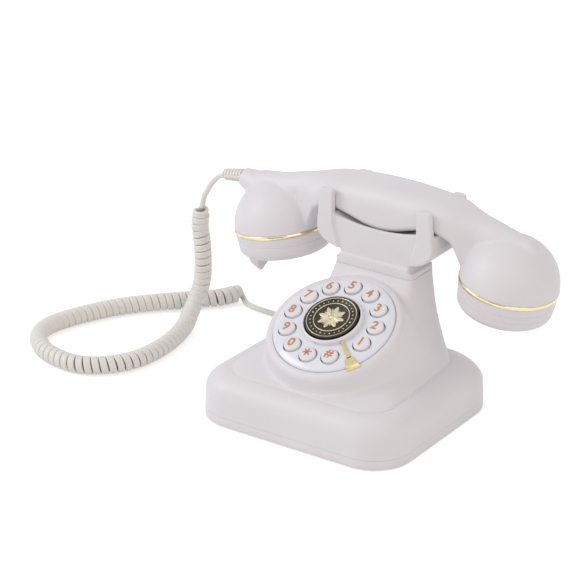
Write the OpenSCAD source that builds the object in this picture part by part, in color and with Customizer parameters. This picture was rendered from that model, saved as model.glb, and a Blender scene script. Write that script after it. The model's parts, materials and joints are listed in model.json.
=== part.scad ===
// Retro French-style desk telephone with a push-button dial.
// Lengths are millimetres; +Z is up, -Y is the front, +X is the user's right.

/* [Foot] */
// Width of the foot
base_w = 135; // [126:1:160]
// Depth of the foot
base_d = 120.5; // [116:0.5:140]
// Corner radius of the foot
base_r = 24.5; // [20:0.5:28]
// Height of the parting line above the underside
cover_h = 5.5; // [4.5:0.1:7]
// Height of the ledge that the flare stands on
ledge_z = 28; // [26:0.5:32]
// Width of the ledge and shoulder together
ledge_in = 12.6; // [11:0.2:15]
// Height of the rounded shoulder
shoulder_h = 11.6; // [9:0.2:13]
// Wall thickness of the base and cradle mouldings
wall = 2.4; // [1.8:0.1:2.8]
// How far the rubber feet stand proud
foot_proud = 0.8; // [0.5:0.1:1.5]

/* [Column] */
// Width of the column at the cradle seam
column_w = 51.6; // [48:0.2:54]
// Height of the cradle seam
seam_z = 75.6; // [74:0.2:78]
// Depth of the column at the seam
column_d = 25.4; // [24.6:0.2:26.4]
// Fall of the flare's sides, larger is softer
flare_side = 14.5; // [12:0.5:16]
// Fall of the flare's front, larger is softer
flare_front = 20; // [16:0.5:22]

/* [Dial] */
// Lean of the dial from the horizontal
dial_tilt = 25.4; // [24:0.2:28]
// Radius of the dial plate
dial_r = 35.7; // [35:0.1:37]
// Height of the dial plate's centre
dial_z = 57.5; // [56.5:0.1:59]
// Distance of the dial's centre ahead of the middle of the foot
dial_ahead = 12; // [11:0.2:14]
// Radius of the circle of keys
key_ring_r = 26.7; // [26.2:0.1:27.2]
// Diameter of a key cap
key_d = 10; // [9.4:0.1:10.8]
// Height of a key cap above the plate
key_rise = 3.2; // [2.6:0.1:4]
// Travel of a key
key_travel = 1.6; // [1:0.1:1.8]
// Angle between neighbouring keys
key_pitch = 28.9; // [28.4:0.1:29.4]
// Outer radius of the raised hub
hub_r = 18.6; // [18.2:0.1:19]
// Radius of the medallion
medal_r = 16; // [15:0.1:16.2]
// Height of the medallion's face above the plate
medal_rise = 5.8; // [5.2:0.1:6.4]

/* [Cradle] */
// Distance of the cradle's middle behind the middle of the foot
cradle_back = 50; // [49:0.2:51]
// Distance between the front and back faces of the prongs
cradle_d = 44; // [43:0.2:46]
// Thickness of a prong
prong_t = 4.2; // [3.6:0.1:5]
// Height of the prong tips
prong_z = 118.7; // [117:0.1:122]
// Distance of a prong's outer edge from the middle, at the tip
prong_out = 37; // [36:0.1:38]
// Half width of the window between the prongs
window_in = 28.4; // [27:0.1:29]
// Rise of the hook plunger when the handset is away
hook_travel = 4; // [3:0.1:4.2]

/* [Handset] */
// Distance of each cup's axis from the middle
cup_x = 77.6; // [76:0.2:82]
// Height of the gold rings' centres
cup_z = 80.4; // [79:0.2:84]
// Lean of the cups
cup_tilt = 10; // [6:0.5:12]
// Radius of a cup at its gold ring
cup_r = 29; // [28.6:0.1:30]
// Height of the dome above the ring
dome_h = 25; // [23:0.2:27]
// Depth of the earpiece cap below its ring
cap_h = 19.8; // [18:0.2:21]
// Depth of the mouthpiece cap below its ring
mouth_cap_h = 18; // [17:0.2:20]
// Width of the handle
handle_w = 34.8; // [32:0.1:34.8]
// Height of the handle's crown in the middle
crown_z = 122.9; // [121:0.1:125]
// Height of the handle's underside in the middle
belly_z = 98.1; // [97.8:0.1:99]
// Wall thickness of the handset mouldings
handset_wall = 2.2; // [1.8:0.1:2.6]

/* [Cord] */
// Outer diameter of the curly stretch
coil_d = 11; // [10:0.1:12]
// Diameter of the straight leads
lead_d = 4; // [3.2:0.1:4.4]

/* [Hidden] */
$fn = 72;

// ---- clearances -------------------------------------------------------------------------
slide_gap = 0.25;   // round a sliding key, knob or plunger
rest_gap = 0.3;     // between pieces of different bodies that rest on each other
fit_gap = 0.15;     // between pieces of one body
bite = 0.5;         // how far a cutting solid runs past the face it cuts

// ---- lines of the handset, from its middle ------------------------------------------------
crown_drop = 11.6;      // fall of the crown from the middle to above a cup's axis
belly_end = 34.2;       // where the belly has risen to the slim part of the handle
belly_rise = 6.9;
neck_x = 46.5;          // where the underside turns down into the neck
neck_low = 87;
handle_slim = 11.5;     // half width of the handle over the cups
handle_end = 105;
end_round = 5;
dome_r = cup_r - 0.2;

// ---- where the groups stand -------------------------------------------------------------
// The frame's origin lies under the middle of the whole object, so the foot sits ahead of it.
base_y = -(cradle_back + cup_r - base_d / 2) / 2;
key_names = ["key_1", "key_2", "key_3", "key_4", "key_5", "key_6", "key_7", "key_8", "key_9",
    "key_0", "key_star", "key_hash"];
first_key = -20.8;
stop_angle = first_key - (360 - 11 * key_pitch) / 2;

module on_desk() {
    translate([0, base_y, foot_proud])
        children();
}

// The dial's own frame: its plane is the plate's face and its z runs out along the keys.
module on_dial() {
    on_desk()
        translate([0, -dial_ahead, dial_z])
            rotate([dial_tilt, 0, 0])
                children();
}

module on_cradle() {
    on_desk()
        translate([0, cradle_back, 0])
            children();
}

// A cup's frame, z up through the dome; side is 1 for the earpiece, -1 for the mouthpiece.
module on_cup(side) {
    on_cradle()
        translate([side * cup_x, 0, cup_z])
            rotate([0, side * cup_tilt, 0])
                children();
}

// ---- shapes -----------------------------------------------------------------------------
// Skin through a list of closed rings of equally many points.
module loft(rings) {
    n = len(rings[0]);
    m = len(rings);
    polyhedron(
        points = [for (ring = rings) each ring],
        faces = concat(
            [[for (i = [0:n - 1]) i]],
            [[for (i = [n - 1:-1:0]) (m - 1) * n + i]],
            [for (j = [0:m - 2], i = [0:n - 1]) [j * n + i, (j + 1) * n + i, (j + 1) * n + (i + 1) % n]],
            [for (j = [0:m - 2], i = [0:n - 1])
                [j * n + i, (j + 1) * n + (i + 1) % n, j * n + (i + 1) % n]]));
}

// Rounded oblong as a ring of points: half width, low and high side, low and high corner radius.
function oblong(half, lo, hi, r_lo, r_hi, steps) = [
    for (corner = [0:3], i = [0:steps])
        let (a = (corner + i / steps) * 90,
             right = corner == 0 || corner == 3 ? 1 : -1,
             high = corner < 2,
             r = high ? r_hi : r_lo)
        [right * (half - r) + r * cos(a), (high ? hi - r : lo + r) + r * sin(a)]];
function level(ring, z) = [for (p = ring) [p[0], p[1], z]];
function section(ring, x) = [for (p = ring) [x, p[0], p[1]]];

module slab(w, d, r, h) {
    linear_extrude(h) {
        square([w - 2 * r, d], center = true);
        square([w, d - 2 * r], center = true);
        for (x = [-1, 1], y = [-1, 1])
            translate([x * (w / 2 - r), y * (d / 2 - r)])
                circle(r);
    }
}

module post(d, z0, z1) {
    translate([0, 0, z0])
        cylinder(d = d, h = z1 - z0);
}

module screw(z0, length, head_d = 5.6, shank_d = 2.8) {
    translate([0, 0, z0])
        cylinder(d = head_d, h = 2);
    translate([0, 0, z0])
        cylinder(d = shank_d, h = length);
}

// ---- base shell -------------------------------------------------------------------------
shoulder_z = ledge_z - shoulder_h - 0.4;
shoulder_in = ledge_in - 0.6;
batter = 1;             // how much the foot's side leans in below the shoulder
column_front = cradle_back - cradle_d / 2 - 0.2;
column_back = column_front + column_d;

// How far the outline has come in from the foot's side at a height below the ledge.
function come_in(z) = z <= shoulder_z
    ? batter * (z - cover_h) / (shoulder_z - cover_h)
    : shoulder_in - (shoulder_in - batter) * sqrt(max(0, 1 - pow((z - shoulder_z) / shoulder_h, 2)));
// Share of the way from the seam out to the ledge, from 1 at the ledge down to 0 at the seam.
function flare(z, soft) = let (end = exp(-(seam_z - ledge_z) / soft))
    (exp(-(z - ledge_z) / soft) - end) / (1 - end);
function blend(a, b, t) = a + (b - a) * t;
function body_ring(z, inset, steps) = let (
        foot = z < ledge_z,
        s = foot ? come_in(z) : 0,
        half = foot ? base_w / 2 - s : blend(column_w / 2, base_w / 2 - ledge_in, flare(z, flare_side)),
        front = foot ? s - base_d / 2 : blend(column_front, ledge_in - base_d / 2, flare(z, flare_front)),
        back = foot ? base_d / 2 - s : blend(column_back, base_d / 2 - ledge_in, flare(z, flare_side)),
        r = foot ? base_r - s / 2 : blend(4, base_r - ledge_in / 2, flare(z, flare_front)),
        ri = max(1.5, r - inset))
    oblong(half - inset, front + inset, back - inset, ri, ri, steps);

module body_outside() {
    foot_levels = [cover_h, (cover_h + shoulder_z) / 2, for (a = [0:15:90]) shoulder_z + shoulder_h * sin(a)];
    flare_levels = [for (i = [0:14]) ledge_z + (seam_z - ledge_z) * pow(i / 14, 1.5)];
    loft([for (z = concat(foot_levels, flare_levels)) level(body_ring(z, 0, 8), z)]);
}

module body_inside() {
    levels = [cover_h - bite, shoulder_z, ledge_z - 7, ledge_z - 4, ledge_z - wall - 0.5, ledge_z - wall + 1,
        for (i = [1:6]) ledge_z + (seam_z - wall - ledge_z) * i / 6];
    loft([for (z = levels) level(body_ring(max(cover_h, z + (z < ledge_z ? wall : 0)), wall, 4), z)]);
}

// Dial housing: a truncated cone round the dial's axis with a rounded bezel.
bezel_r = dial_r + 4;
bezel_drop = 1.2;       // bezel below the plate's face
plate_t = 2.4;
plate_seat = -plate_t;
housing_angle = 15;
housing_l = 36;
bezel_round = 2.6;

function housing_r(depth) = bezel_r + (depth - bezel_drop) * tan(housing_angle);
module housing_outside() {
    rotate_extrude()
        polygon(concat([[0, -housing_l]], [[housing_r(housing_l), -housing_l]],
            [for (a = [0:15:90]) [
                housing_r(bezel_drop + bezel_round) - bezel_round * (1 - cos(a)),
                -bezel_drop - bezel_round * (1 - sin(a))]],
            [[0, -bezel_drop]]));
}

module housing_inside() {
    translate([0, 0, -housing_l - bite])
        cylinder(h = housing_l + bite + plate_seat - wall, r1 = housing_r(housing_l) - wall,
            r2 = housing_r(-plate_seat + wall) - wall);
}

screw_x = 54;
screw_y = 38;
jack_w = 13;
jack_h = 12;
board_z = 8.2;
board_t = 1.6;
jack_z = board_z + board_t;
line_jack_x = 24;
handset_jack_x = -30;
back_face = base_d / 2 - batter;
jack_face = back_face - 1.6;
knob_slot_w = 10;
knob_w = 3.6;
knob_z = jack_z + 4;
deck_t = wall;
deck_open_w = 30;
deck_open_d = 14;
hook_y = column_front + column_d / 2;
cradle_screw_x = 19;

module jack_window(x) {
    translate([x - jack_w / 2 - fit_gap, base_d / 2 - 12, jack_z - fit_gap])
        cube([jack_w + 2 * fit_gap, 14, jack_h + 2 * fit_gap]);
}

module base_shell() {
    color("gainsboro") {
        difference() {
            union() {
                on_desk()
                    body_outside();
                intersection() {
                    on_dial()
                        housing_outside();
                    on_desk()
                        translate([-base_w / 2, -base_d / 2, ledge_z - 2])
                            cube([base_w, base_d, seam_z]);
                }
            }
            on_desk() {
                body_inside();
                translate([-deck_open_w / 2, hook_y - deck_open_d / 2, seam_z - deck_t - bite])
                    cube([deck_open_w, deck_open_d, deck_t + 2 * bite]);
                for (x = [-1, 1])
                    translate([x * cradle_screw_x, hook_y, 0])
                        post(3.2, seam_z - deck_t - bite, seam_z + bite);
                jack_window(line_jack_x);
                jack_window(handset_jack_x);
                translate([-knob_slot_w / 2, base_d / 2 - 12, knob_z - knob_w / 2 - slide_gap])
                    cube([knob_slot_w, 14, knob_w + 2 * slide_gap]);
            }
            intersection() {
                on_dial()
                    housing_inside();
                on_desk()
                    translate([-base_w / 2, -base_d / 2, ledge_z - 6])
                        cube([base_w, base_d / 2 + column_front, seam_z]);
            }
            on_dial() {
                translate([0, 0, plate_seat])
                    cylinder(r = dial_r + rest_gap, h = 10);
                translate([0, 0, plate_seat - wall - bite])
                    cylinder(r = dial_r - 2.2, h = 10);
            }
        }
        on_desk()
            for (x = [-1, 1], y = [-1, 1])
                translate([x * screw_x, y * screw_y, 0])
                    difference() {
                        post(8, cover_floor, ledge_z - wall + 0.4);
                        post(2.4, 0, ledge_z - 8);
                    }
    }
}

// ---- bottom cover and what stands on it -------------------------------------------------
cover_floor = 2.2;
foot_d = 12;
foot_x = 46;
foot_y = 50;
foot_sink = 1;
feet = [for (x = [-1, 1], y = [-1, 1]) [x * foot_x, y * foot_y]];
board_w = 90;
board_d = 50;
board_y = back_face - wall - 2.85 - board_d / 2;
board_screw_x = 40;
board_screw_y = 20;

module bottom_cover() {
    color("gainsboro")
        on_desk()
            difference() {
                union() {
                    difference() {
                        slab(base_w, base_d, base_r, cover_h);
                        translate([0, 0, cover_floor])
                            slab(base_w - 2 * wall, base_d - 2 * wall, base_r - wall, cover_h);
                    }
                    for (x = [-1, 1], y = [-1, 1])
                        translate([x * board_screw_x, board_y + y * board_screw_y, 0])
                            post(7, cover_floor, board_z);
                }
                for (p = feet)
                    translate([p[0], p[1], -bite])
                        cylinder(d = foot_d + 2 * fit_gap, h = foot_sink + bite);
                for (x = [-1, 1], y = [-1, 1])
                    translate([x * screw_x, y * screw_y, 0]) {
                        post(3.4, -bite, cover_h);
                        post(6.4, -bite, 1.2);
                    }
                for (x = [-1, 1], y = [-1, 1])
                    translate([x * board_screw_x, board_y + y * board_screw_y, 0])
                        post(2.4, cover_floor, board_z + bite);
                for (i = [-3:3])
                    translate([speaker_x - 11, speaker_y + i * 3.6 - 0.8, -bite])
                        cube([22, 1.6, cover_h]);
            }
}

module rubber_feet() {
    color("dimgray")
        on_desk()
            for (p = feet)
                translate([p[0], p[1], 0])
                    rotate_extrude()
                        polygon([[0, -foot_proud], [foot_d / 2 - 0.8, -foot_proud], [foot_d / 2, 0],
                            [foot_d / 2, foot_sink], [0, foot_sink]]);
}

ballast_w = 62;
ballast_d = 34;
ballast_h = 5;
ballast_r = 3;
ballast_x = base_w / 2 - 20.5 - ballast_w / 2;
ballast_y = 13.25 - base_d / 2 + ballast_d / 2;
module ballast_plate() {
    color("slategray")
        on_desk()
            translate([ballast_x, ballast_y, cover_floor])
                slab(ballast_w, ballast_d, ballast_r, ballast_h);
}

speaker_d = 32;
speaker_x = 16.5 - base_w / 2 + speaker_d / 2;
speaker_y = 18.25 - base_d / 2 + speaker_d / 2;
module ringer_speaker() {
    color("dimgray")
        on_desk()
            translate([speaker_x, speaker_y, cover_floor])
                rotate_extrude()
                    polygon([[0, 0.8], [speaker_d / 2 - 2, 0.8], [speaker_d / 2 - 2, 0], [speaker_d / 2, 0],
                        [speaker_d / 2, 3], [speaker_d / 2 - 4, 6], [9, 6], [9, 9.5], [0, 9.5]]);
}

module main_board() {
    color("seagreen")
        on_desk()
            translate([0, board_y, board_z])
                difference() {
                    slab(board_w, board_d, 1.5, board_t);
                    for (x = [-1, 1], y = [-1, 1])
                        translate([x * board_screw_x, y * board_screw_y, 0])
                            post(2.8, -bite, board_t + bite);
                }
}

module board_screws() {
    color("silver")
        on_desk()
            for (x = [-1, 1], y = [-1, 1])
                translate([x * board_screw_x, board_y + y * board_screw_y, board_z + board_t + 2])
                    mirror([0, 0, 1])
                        screw(0, 8, 5, 2.2);
}

module base_screws() {
    color("silver")
        on_desk()
            for (x = [-1, 1], y = [-1, 1])
                translate([x * screw_x, y * screw_y, 0]) {
                    post(5.8, 0, 1.2);
                    post(2.2, 1, 14);
                }
}

// A jack: a block with a stepped socket open to the back.
socket_w = 9.8;
socket_h = 6.8;
socket_l = 12;
jack_l = 14;
module jack(x, w) {
    on_desk()
        translate([x - jack_w / 2, jack_face - jack_l, jack_z])
            difference() {
                cube([jack_w, jack_l, jack_h]);
                translate([(jack_w - w) / 2, jack_l - socket_l, (jack_h - socket_h) / 2])
                    cube([w, socket_l + bite, socket_h]);
                translate([(jack_w - 4) / 2, jack_l - socket_l, (jack_h + socket_h) / 2 - bite])
                    cube([4, socket_l + bite, 1.6 + bite]);
            }
}

module line_jack() {
    color("whitesmoke")
        jack(line_jack_x, socket_w);
}

plug_w = 7.7;
module handset_jack() {
    color("whitesmoke")
        jack(handset_jack_x, plug_w + 2 * slide_gap);
}

switch_w = 16;
module ringer_switch() {
    color("dimgray")
        on_desk()
            translate([-switch_w / 2, back_face - wall - 1.4 - 6, jack_z])
                difference() {
                    cube([switch_w, 6, 8]);
                    translate([(switch_w - knob_slot_w) / 2, 4, knob_z - jack_z - knob_w / 2 - slide_gap])
                        cube([knob_slot_w, 3, knob_w + 2 * slide_gap]);
                }
}

knob_travel = 3;
module ringer_knob() {
    color("white")
        on_desk()
            translate([-knob_travel - knob_w / 2, back_face - wall - 3.4 + slide_gap, knob_z - knob_w / 2])
                cube([knob_w, 7, knob_w]);
}

// ---- dial -------------------------------------------------------------------------------
key_hole_r = key_d / 2 + slide_gap;
post_r = 31.4;
key_board_z = -8;
key_board_t = 1.6;
mat_t = 1;
key_stem_z = -4.6;
dome_gap = key_travel + rest_gap;
board_posts = [1, 4, 7, 10];

module at_keys(i) {
    rotate([0, 0, first_key + i * key_pitch])
        translate([key_ring_r, 0, 0])
            rotate([0, 0, -first_key - i * key_pitch])
                children();
}
module at_posts() {
    for (i = board_posts)
        rotate([0, 0, first_key + (i + 0.5) * key_pitch])
            translate([post_r, 0, 0])
                children();
}

plate_post_d = 3.6;
board_screw_d = 1.2;
board_screw_head_d = 3;
module dial_plate() {
    edge = 0.9;
    color("white")
        on_dial() {
            difference() {
                rotate_extrude()
                    polygon(concat([[hub_r - 1.6, plate_seat], [dial_r, plate_seat]],
                        [for (a = [0:22.5:90]) [dial_r - edge * (1 - cos(a)), -edge * (1 - sin(a))]],
                        [[hub_r - 1.6, 0]]));
                for (i = [0:11])
                    at_keys(i)
                        translate([0, 0, plate_seat - bite])
                            cylinder(r = key_hole_r, h = plate_t + 2 * bite);
            }
            at_posts()
                difference() {
                    post(plate_post_d, key_board_z, plate_seat + 0.2);
                    post(board_screw_d + 0.2, key_board_z - bite, key_board_z + 4);
                }
        }
}

module mat_dome() {
    translate([0, 0, key_board_z + mat_t - 0.2])
        cylinder(r1 = 2.3, r2 = 1.7, h = key_stem_z - dome_gap - key_board_z - mat_t + 0.2);
}
module key_mat() {
    color("lightgray")
        on_dial() {
            translate([0, 0, key_board_z])
                cylinder(r = key_ring_r + 2.7, h = mat_t);
            for (i = [0:11])
                at_keys(i)
                    mat_dome();
            for (side = [-1, 1])
                translate([0, side * pusher_y, 0])
                    mat_dome();
        }
}

module key_board() {
    color("seagreen")
        on_dial()
            difference() {
                translate([0, 0, key_board_z - key_board_t])
                    cylinder(r = dial_r - 2.5, h = key_board_t);
                at_posts()
                    post(2, key_board_z - key_board_t - bite, key_board_z + bite);
            }
}

module key_board_screws() {
    color("silver")
        on_dial()
            at_posts()
                translate([0, 0, key_board_z - key_board_t - 1.2]) {
                    cylinder(d = board_screw_head_d, h = 1.2);
                    cylinder(d = board_screw_d, h = 5.5);
                }
}

// A key cap with its retaining flange and stem.
module key(i) {
    edge = 0.8;
    flange_r = key_d / 2 + 0.8;
    color("ivory")
        on_dial()
            at_keys(i)
                rotate_extrude()
                    polygon(concat(
                        [[0, key_stem_z], [2.2, key_stem_z], [2.2, key_stem_z + 0.6],
                            [flange_r, key_stem_z + 0.6], [flange_r, plate_seat - rest_gap],
                            [key_d / 2, plate_seat - rest_gap]],
                        [for (a = [0:30:90])
                            [key_d / 2 - edge * (1 - cos(a)), key_rise - 0.4 - edge * (1 - sin(a))]],
                        [[2.4, key_rise - 0.1], [0, key_rise]]));
}

// Raised hub with the two bearings of the medallion button.
hub_h = 4.6;
well_r = medal_r + 0.6;
pivot_d = 2;
pivot_z = 1.6;
module dial_hub() {
    color("mistyrose")
        on_dial()
            difference() {
                rotate_extrude()
                    polygon([[well_r, 0], [hub_r, 0], [hub_r, hub_h - 1.6], [hub_r - 0.5, hub_h - 0.5],
                        [hub_r - 1.2, hub_h], [well_r, hub_h - 0.2]]);
                translate([0, 0, pivot_z])
                    rotate([0, 90, 0])
                        cylinder(d = pivot_d + 0.4, h = 2 * hub_r - 1.2, center = true);
            }
}

medal_t = 1.4;
carrier_z = -1.2;
pusher_y = 10;
module redial_rocker() {
    color("black")
        on_dial() {
            difference() {
                translate([0, 0, carrier_z])
                    cylinder(r = medal_r - 0.4, h = medal_rise - medal_t - carrier_z);
                translate([0, 0, carrier_z - bite])
                    cylinder(r = medal_r - 2, h = medal_rise - medal_t - 1.6 - carrier_z + bite);
            }
            for (side = [-1, 1]) {
                translate([side * (medal_r - 1), 0, pivot_z])
                    rotate([0, side * 90, 0])
                        cylinder(d = pivot_d, h = 2.6);
                translate([0, side * pusher_y, 0])
                    post(3, key_board_z + mat_t + 1.2, medal_rise - medal_t - 1);
            }
        }
}

medal_field = medal_rise - 0.3;
module medallion() {
    color("darkgoldenrod")
        on_dial()
            rotate_extrude()
                polygon([[0, medal_rise - medal_t], [medal_r, medal_rise - medal_t],
                    [medal_r, medal_rise - 0.4], [medal_r - 0.4, medal_rise], [medal_r - 1.2, medal_rise],
                    [medal_r - 1.5, medal_field], [10.9, medal_field], [10.6, medal_rise], [10.2, medal_rise],
                    [9.9, medal_field], [0, medal_field]]);
}

module finger_stop() {
    inner = hub_r + 0.6;
    step = dial_r - 4;
    lip = dial_r + 2.4;
    color("gold")
        on_dial()
            rotate([0, 0, stop_angle]) {
                translate([0, 0, 0.8])
                    linear_extrude(1.2)
                        polygon([[inner, -0.9], [step, -1.5], [step, 1.5], [inner, 0.9]]);
                translate([inner, -0.9, 0])
                    cube([2.2, 1.8, 1]);
                linear_extrude(1.5)
                    polygon([[step - 0.4, -2.4], [lip, -4.4], [lip, 4.4], [step - 0.4, 2.4]]);
                translate([dial_r + 0.5, -4, -bezel_drop + 0.1])
                    cube([1.7, 8, bezel_drop]);
            }
}

// ---- cradle -----------------------------------------------------------------------------
flange_z = seam_z + 3.4;
neck_in = 2.4;
bracket_z = 84.2;       // where the sides begin to swell
bracket_h = 11.2;
back_h = 15.5;          // height of the swell at the back
bulge_out = 2.2;        // how far the swell stands out past the prong tips
cradle_front = cradle_back - cradle_d / 2;
cradle_rear = cradle_back + cradle_d / 2;
function swell(z, top, h) = z >= top ? 1 : z <= top - h ? 0 : sqrt(1 - pow((top - z) / h, 2));
function cradle_ring(z) = let (
        side = swell(z, bracket_z + bracket_h, bracket_h),
        rear = swell(z, bracket_z + bracket_h + 1.6, back_h),
        lean = max(0, (z - bracket_z - bracket_h) / (prong_z - bracket_z - bracket_h)))
    oblong(blend(blend(column_w / 2 - neck_in, prong_out + bulge_out, side), prong_out, lean),
        cradle_front, blend(column_back - 0.8, cradle_rear, rear), 2, blend(3, 5, rear), 4);
flange_ring = oblong(column_w / 2 - 0.2, column_front + 0.2, column_back - 0.2, 4, 4, 4);

channel_front = cradle_front + prong_t;
channel_rear = cradle_rear - prong_t;
saddle_z = min(underside(window_in), underside(prong_out + bulge_out)) - rest_gap;
saddle_dip = 1.6;       // gap under the handle's belly
window_dip = 3.6;       // how far the window's lower edge dips in the middle
window_z = saddle_z;

// Everything above a dished floor: its lowest line is at low_z, and it rises by dip at each end.
module above_dish(half, dip, low_z, y0, y1) {
    r = (half * half + dip * dip) / (2 * dip);
    intersection() {
        translate([-half, y0, low_z - bite])
            cube([2 * half, y1 - y0, prong_z]);
        translate([0, y0 - bite, low_z + r])
            rotate([-90, 0, 0])
                cylinder(r = r, h = y1 - y0 + 2 * bite, $fn = 180);
    }
}

plunger_w = 12;
plunger_d = 8;
ceiling_z = 92;
hook_board_z = seam_z - 5.2;
hook_board_t = 1.6;
hook_board_w = 32;
hook_board_d = 15;
hook_post_x = 11.5;

module cradle() {
    levels = [flange_z + 0.4, for (a = [0:10:90]) bracket_z + bracket_h + 1.6 - back_h * cos(a),
        (bracket_z + bracket_h + prong_z) / 2, prong_z - 1];
    recess = 1.8;
    color("whitesmoke")
        on_desk() {
            difference() {
                union() {
                    loft([level(flange_ring, seam_z), level(flange_ring, flange_z),
                        level(cradle_ring(flange_z), flange_z + 0.4),
                        for (z = levels) level(cradle_ring(z), z + 0.01),
                        level(oblong(prong_out - 0.8, cradle_front + 0.8, cradle_rear - 0.8, 2, 5, 4),
                            prong_z)]);
                }
                for (side = [-1, 1])
                    translate([side * (window_in + 10) - 10 - bite, channel_front, saddle_z])
                        cube([20 + 2 * bite, channel_rear - channel_front, prong_z]);
                above_dish(window_in + bite, saddle_z - belly_z + saddle_dip, belly_z - saddle_dip,
                    channel_front, channel_rear);
                above_dish(window_in, window_dip, window_z - window_dip,
                    cradle_front - bite, cradle_rear + bite);
                translate([0, cradle_front + recess, 0])
                    rotate([90, 0, 0])
                        linear_extrude(10)
                            polygon([[-21, bracket_z], [21, bracket_z], [24, window_z - 4],
                                [window_in, window_z + 8], [window_in, prong_z + 5],
                                [-window_in, prong_z + 5], [-window_in, window_z + 8], [-24, window_z - 4]]);
                translate([-16, column_front + 3, seam_z - bite])
                    cube([32, column_d - 6, ceiling_z - seam_z - 4]);
                translate([-16, column_front + 3, ceiling_z - 6.6])
                    cube([32, 30, 6.6]);
                translate([0, cradle_back, ceiling_z - bite])
                    slab(plunger_w + 2 * slide_gap, plunger_d + 2 * slide_gap, 2, 10);
                for (x = [-1, 1])
                    translate([x * cradle_screw_x, hook_y, 0])
                        post(2.4, seam_z - bite, seam_z + 8);
            }
            for (x = [-1, 1])
                translate([x * hook_post_x, hook_y, 0])
                    difference() {
                        post(5, hook_board_z + hook_board_t, ceiling_z + 0.2);
                        post(1.8, hook_board_z, hook_board_z + 8);
                    }
        }
}

module cradle_screws() {
    color("silver")
        on_desk()
            for (x = [-1, 1])
                translate([x * cradle_screw_x, hook_y, 0]) {
                    post(5, seam_z - deck_t - 2, seam_z - deck_t);
                    post(2.2, seam_z - deck_t - 1, seam_z + 6);
                }
}

plunger_top = belly_z - 0.2;
plate_top = ceiling_z - hook_travel - rest_gap;
module hook_plunger() {
    color("gainsboro")
        on_desk() {
            translate([0, cradle_back, plate_top - 0.6])
                slab(plunger_w, plunger_d, 2, plunger_top - plate_top + 0.6);
            translate([-7.5, hook_y - 3, plate_top - 1.2])
                cube([15, cradle_back - hook_y + 9, 1.2]);
            translate([0, hook_y, 0])
                post(4, hook_switch_top + rest_gap, plate_top - 1);
        }
}

hook_switch_w = 12.8;
hook_switch_d = 6;
hook_switch_h = 8;
hook_switch_top = hook_board_z + hook_board_t + hook_switch_h + 3;
module hook_switch() {
    color("dimgray")
        on_desk()
            translate([0, hook_y, hook_board_z + hook_board_t]) {
                slab(hook_switch_w, hook_switch_d, 0.5, hook_switch_h);
                post(3, hook_switch_h - 0.5, hook_switch_h + 3);
            }
}

module hook_board() {
    color("seagreen")
        on_desk()
            translate([0, hook_y, hook_board_z])
                difference() {
                    slab(hook_board_w, hook_board_d, 1, hook_board_t);
                    for (x = [-1, 1])
                        translate([x * hook_post_x, 0, 0])
                            post(2, -bite, hook_board_t + bite);
                }
}

// ---- handset ----------------------------------------------------------------------------
function ease(t) = let (c = max(0, min(1, t))) c * c * (3 - 2 * c);
function end_drop(x) = 1 - sqrt(max(0, 1 - pow(max(0, abs(x) - handle_end + end_round) / end_round, 2)));
function crown(x) = crown_z - crown_drop * pow(min(abs(x), cup_x) / cup_x, 2)
    - 0.18 * max(0, abs(x) - cup_x) - 5 * end_drop(x);
function underside(x) = abs(x) < belly_end
    ? belly_z + belly_rise * (1 - cos(180 * x / belly_end)) / 2
    : belly_z + belly_rise - 5 * pow((abs(x) - belly_end) / 12.2, 2);
function half_width(x) = blend(handle_w / 2, handle_slim, ease((abs(x) - 40) / 34)) - 4 * end_drop(x);
function handle_section(x, low, inset) = let (
        half = half_width(x) - inset,
        top = crown(x) - inset)
    section(oblong(half, low + inset, top, min(4, half - 1), min(half - 1, top - low - inset - 4, 10), 4),
        x);

module handle_outside() {
    neck = [[neck_x + 1.8, 96.5], [neck_x + 3.2, 92], [neck_x + 4.4, 89], [neck_x + 5, neck_low],
        [60, neck_low], [72, neck_low], [84, neck_low], for (step = [end_round, 3, 1.5, 0.5, 0]) [handle_end - step, neck_low]];
    loft(concat(
        [for (i = [len(neck) - 1:-1:0]) handle_section(-neck[i][0], neck[i][1], 0)],
        [for (i = [-8:8]) handle_section(i * neck_x / 8, underside(i * neck_x / 8), 0)],
        [for (q = neck) handle_section(q[0], q[1], 0)]));
}
module handle_inside() {
    loft(concat(
        [handle_section(-72, 100, handset_wall), handle_section(-50, 101, handset_wall)],
        [for (i = [-7:7]) handle_section(i * 6, underside(i * 6), handset_wall)],
        [handle_section(50, 101, handset_wall), handle_section(72, 100, handset_wall)]));
}

module dome(inset) {
    rotate_extrude()
        polygon(concat([[0, 0]], [for (a = [0:6:90]) [(dome_r - inset) * cos(a), (dome_h - inset) * sin(a)]]));
}

horn_x = -106;
horn_z = 103.3;
horn_d = 8.3;
module handset_shell() {
    color("whitesmoke") {
        difference() {
            union() {
                on_cradle()
                    handle_outside();
                for (side = [-1, 1])
                    on_cup(side)
                        dome(0);
                on_cradle()
                    translate([horn_x, 0, horn_z])
                        rotate([0, 90 - 8, 0])
                            cylinder(d1 = horn_d, d2 = horn_d + 3, h = 26);
            }
            on_cradle()
                handle_inside();
            for (side = [-1, 1]) {
                on_cup(side) {
                    dome(handset_wall);
                    translate([0, 0, -bite])
                        cylinder(r = dome_r - handset_wall, h = bite + 0.1);
                }
            }
            on_cradle()
                liner_strip(fit_gap, bite);
            on_cradle()
                translate([horn_x - bite, 0, horn_z + 0.07])
                    rotate([0, 90 - 8, 0])
                        cylinder(d = 5, h = 22);
        }
    }
}
liner_half = 12;
liner_end = 42;
module liner_strip(grow, below) {
    stops = [-liner_end - grow, for (i = [-6:6]) i * 6, liner_end + grow];
    loft([for (x = stops)
        section(oblong(liner_half + grow, underside(x) - below, underside(x) + handset_wall + grow,
            0.5, 0.5, 1), x)]);
}
screw_stop = 37;
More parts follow.
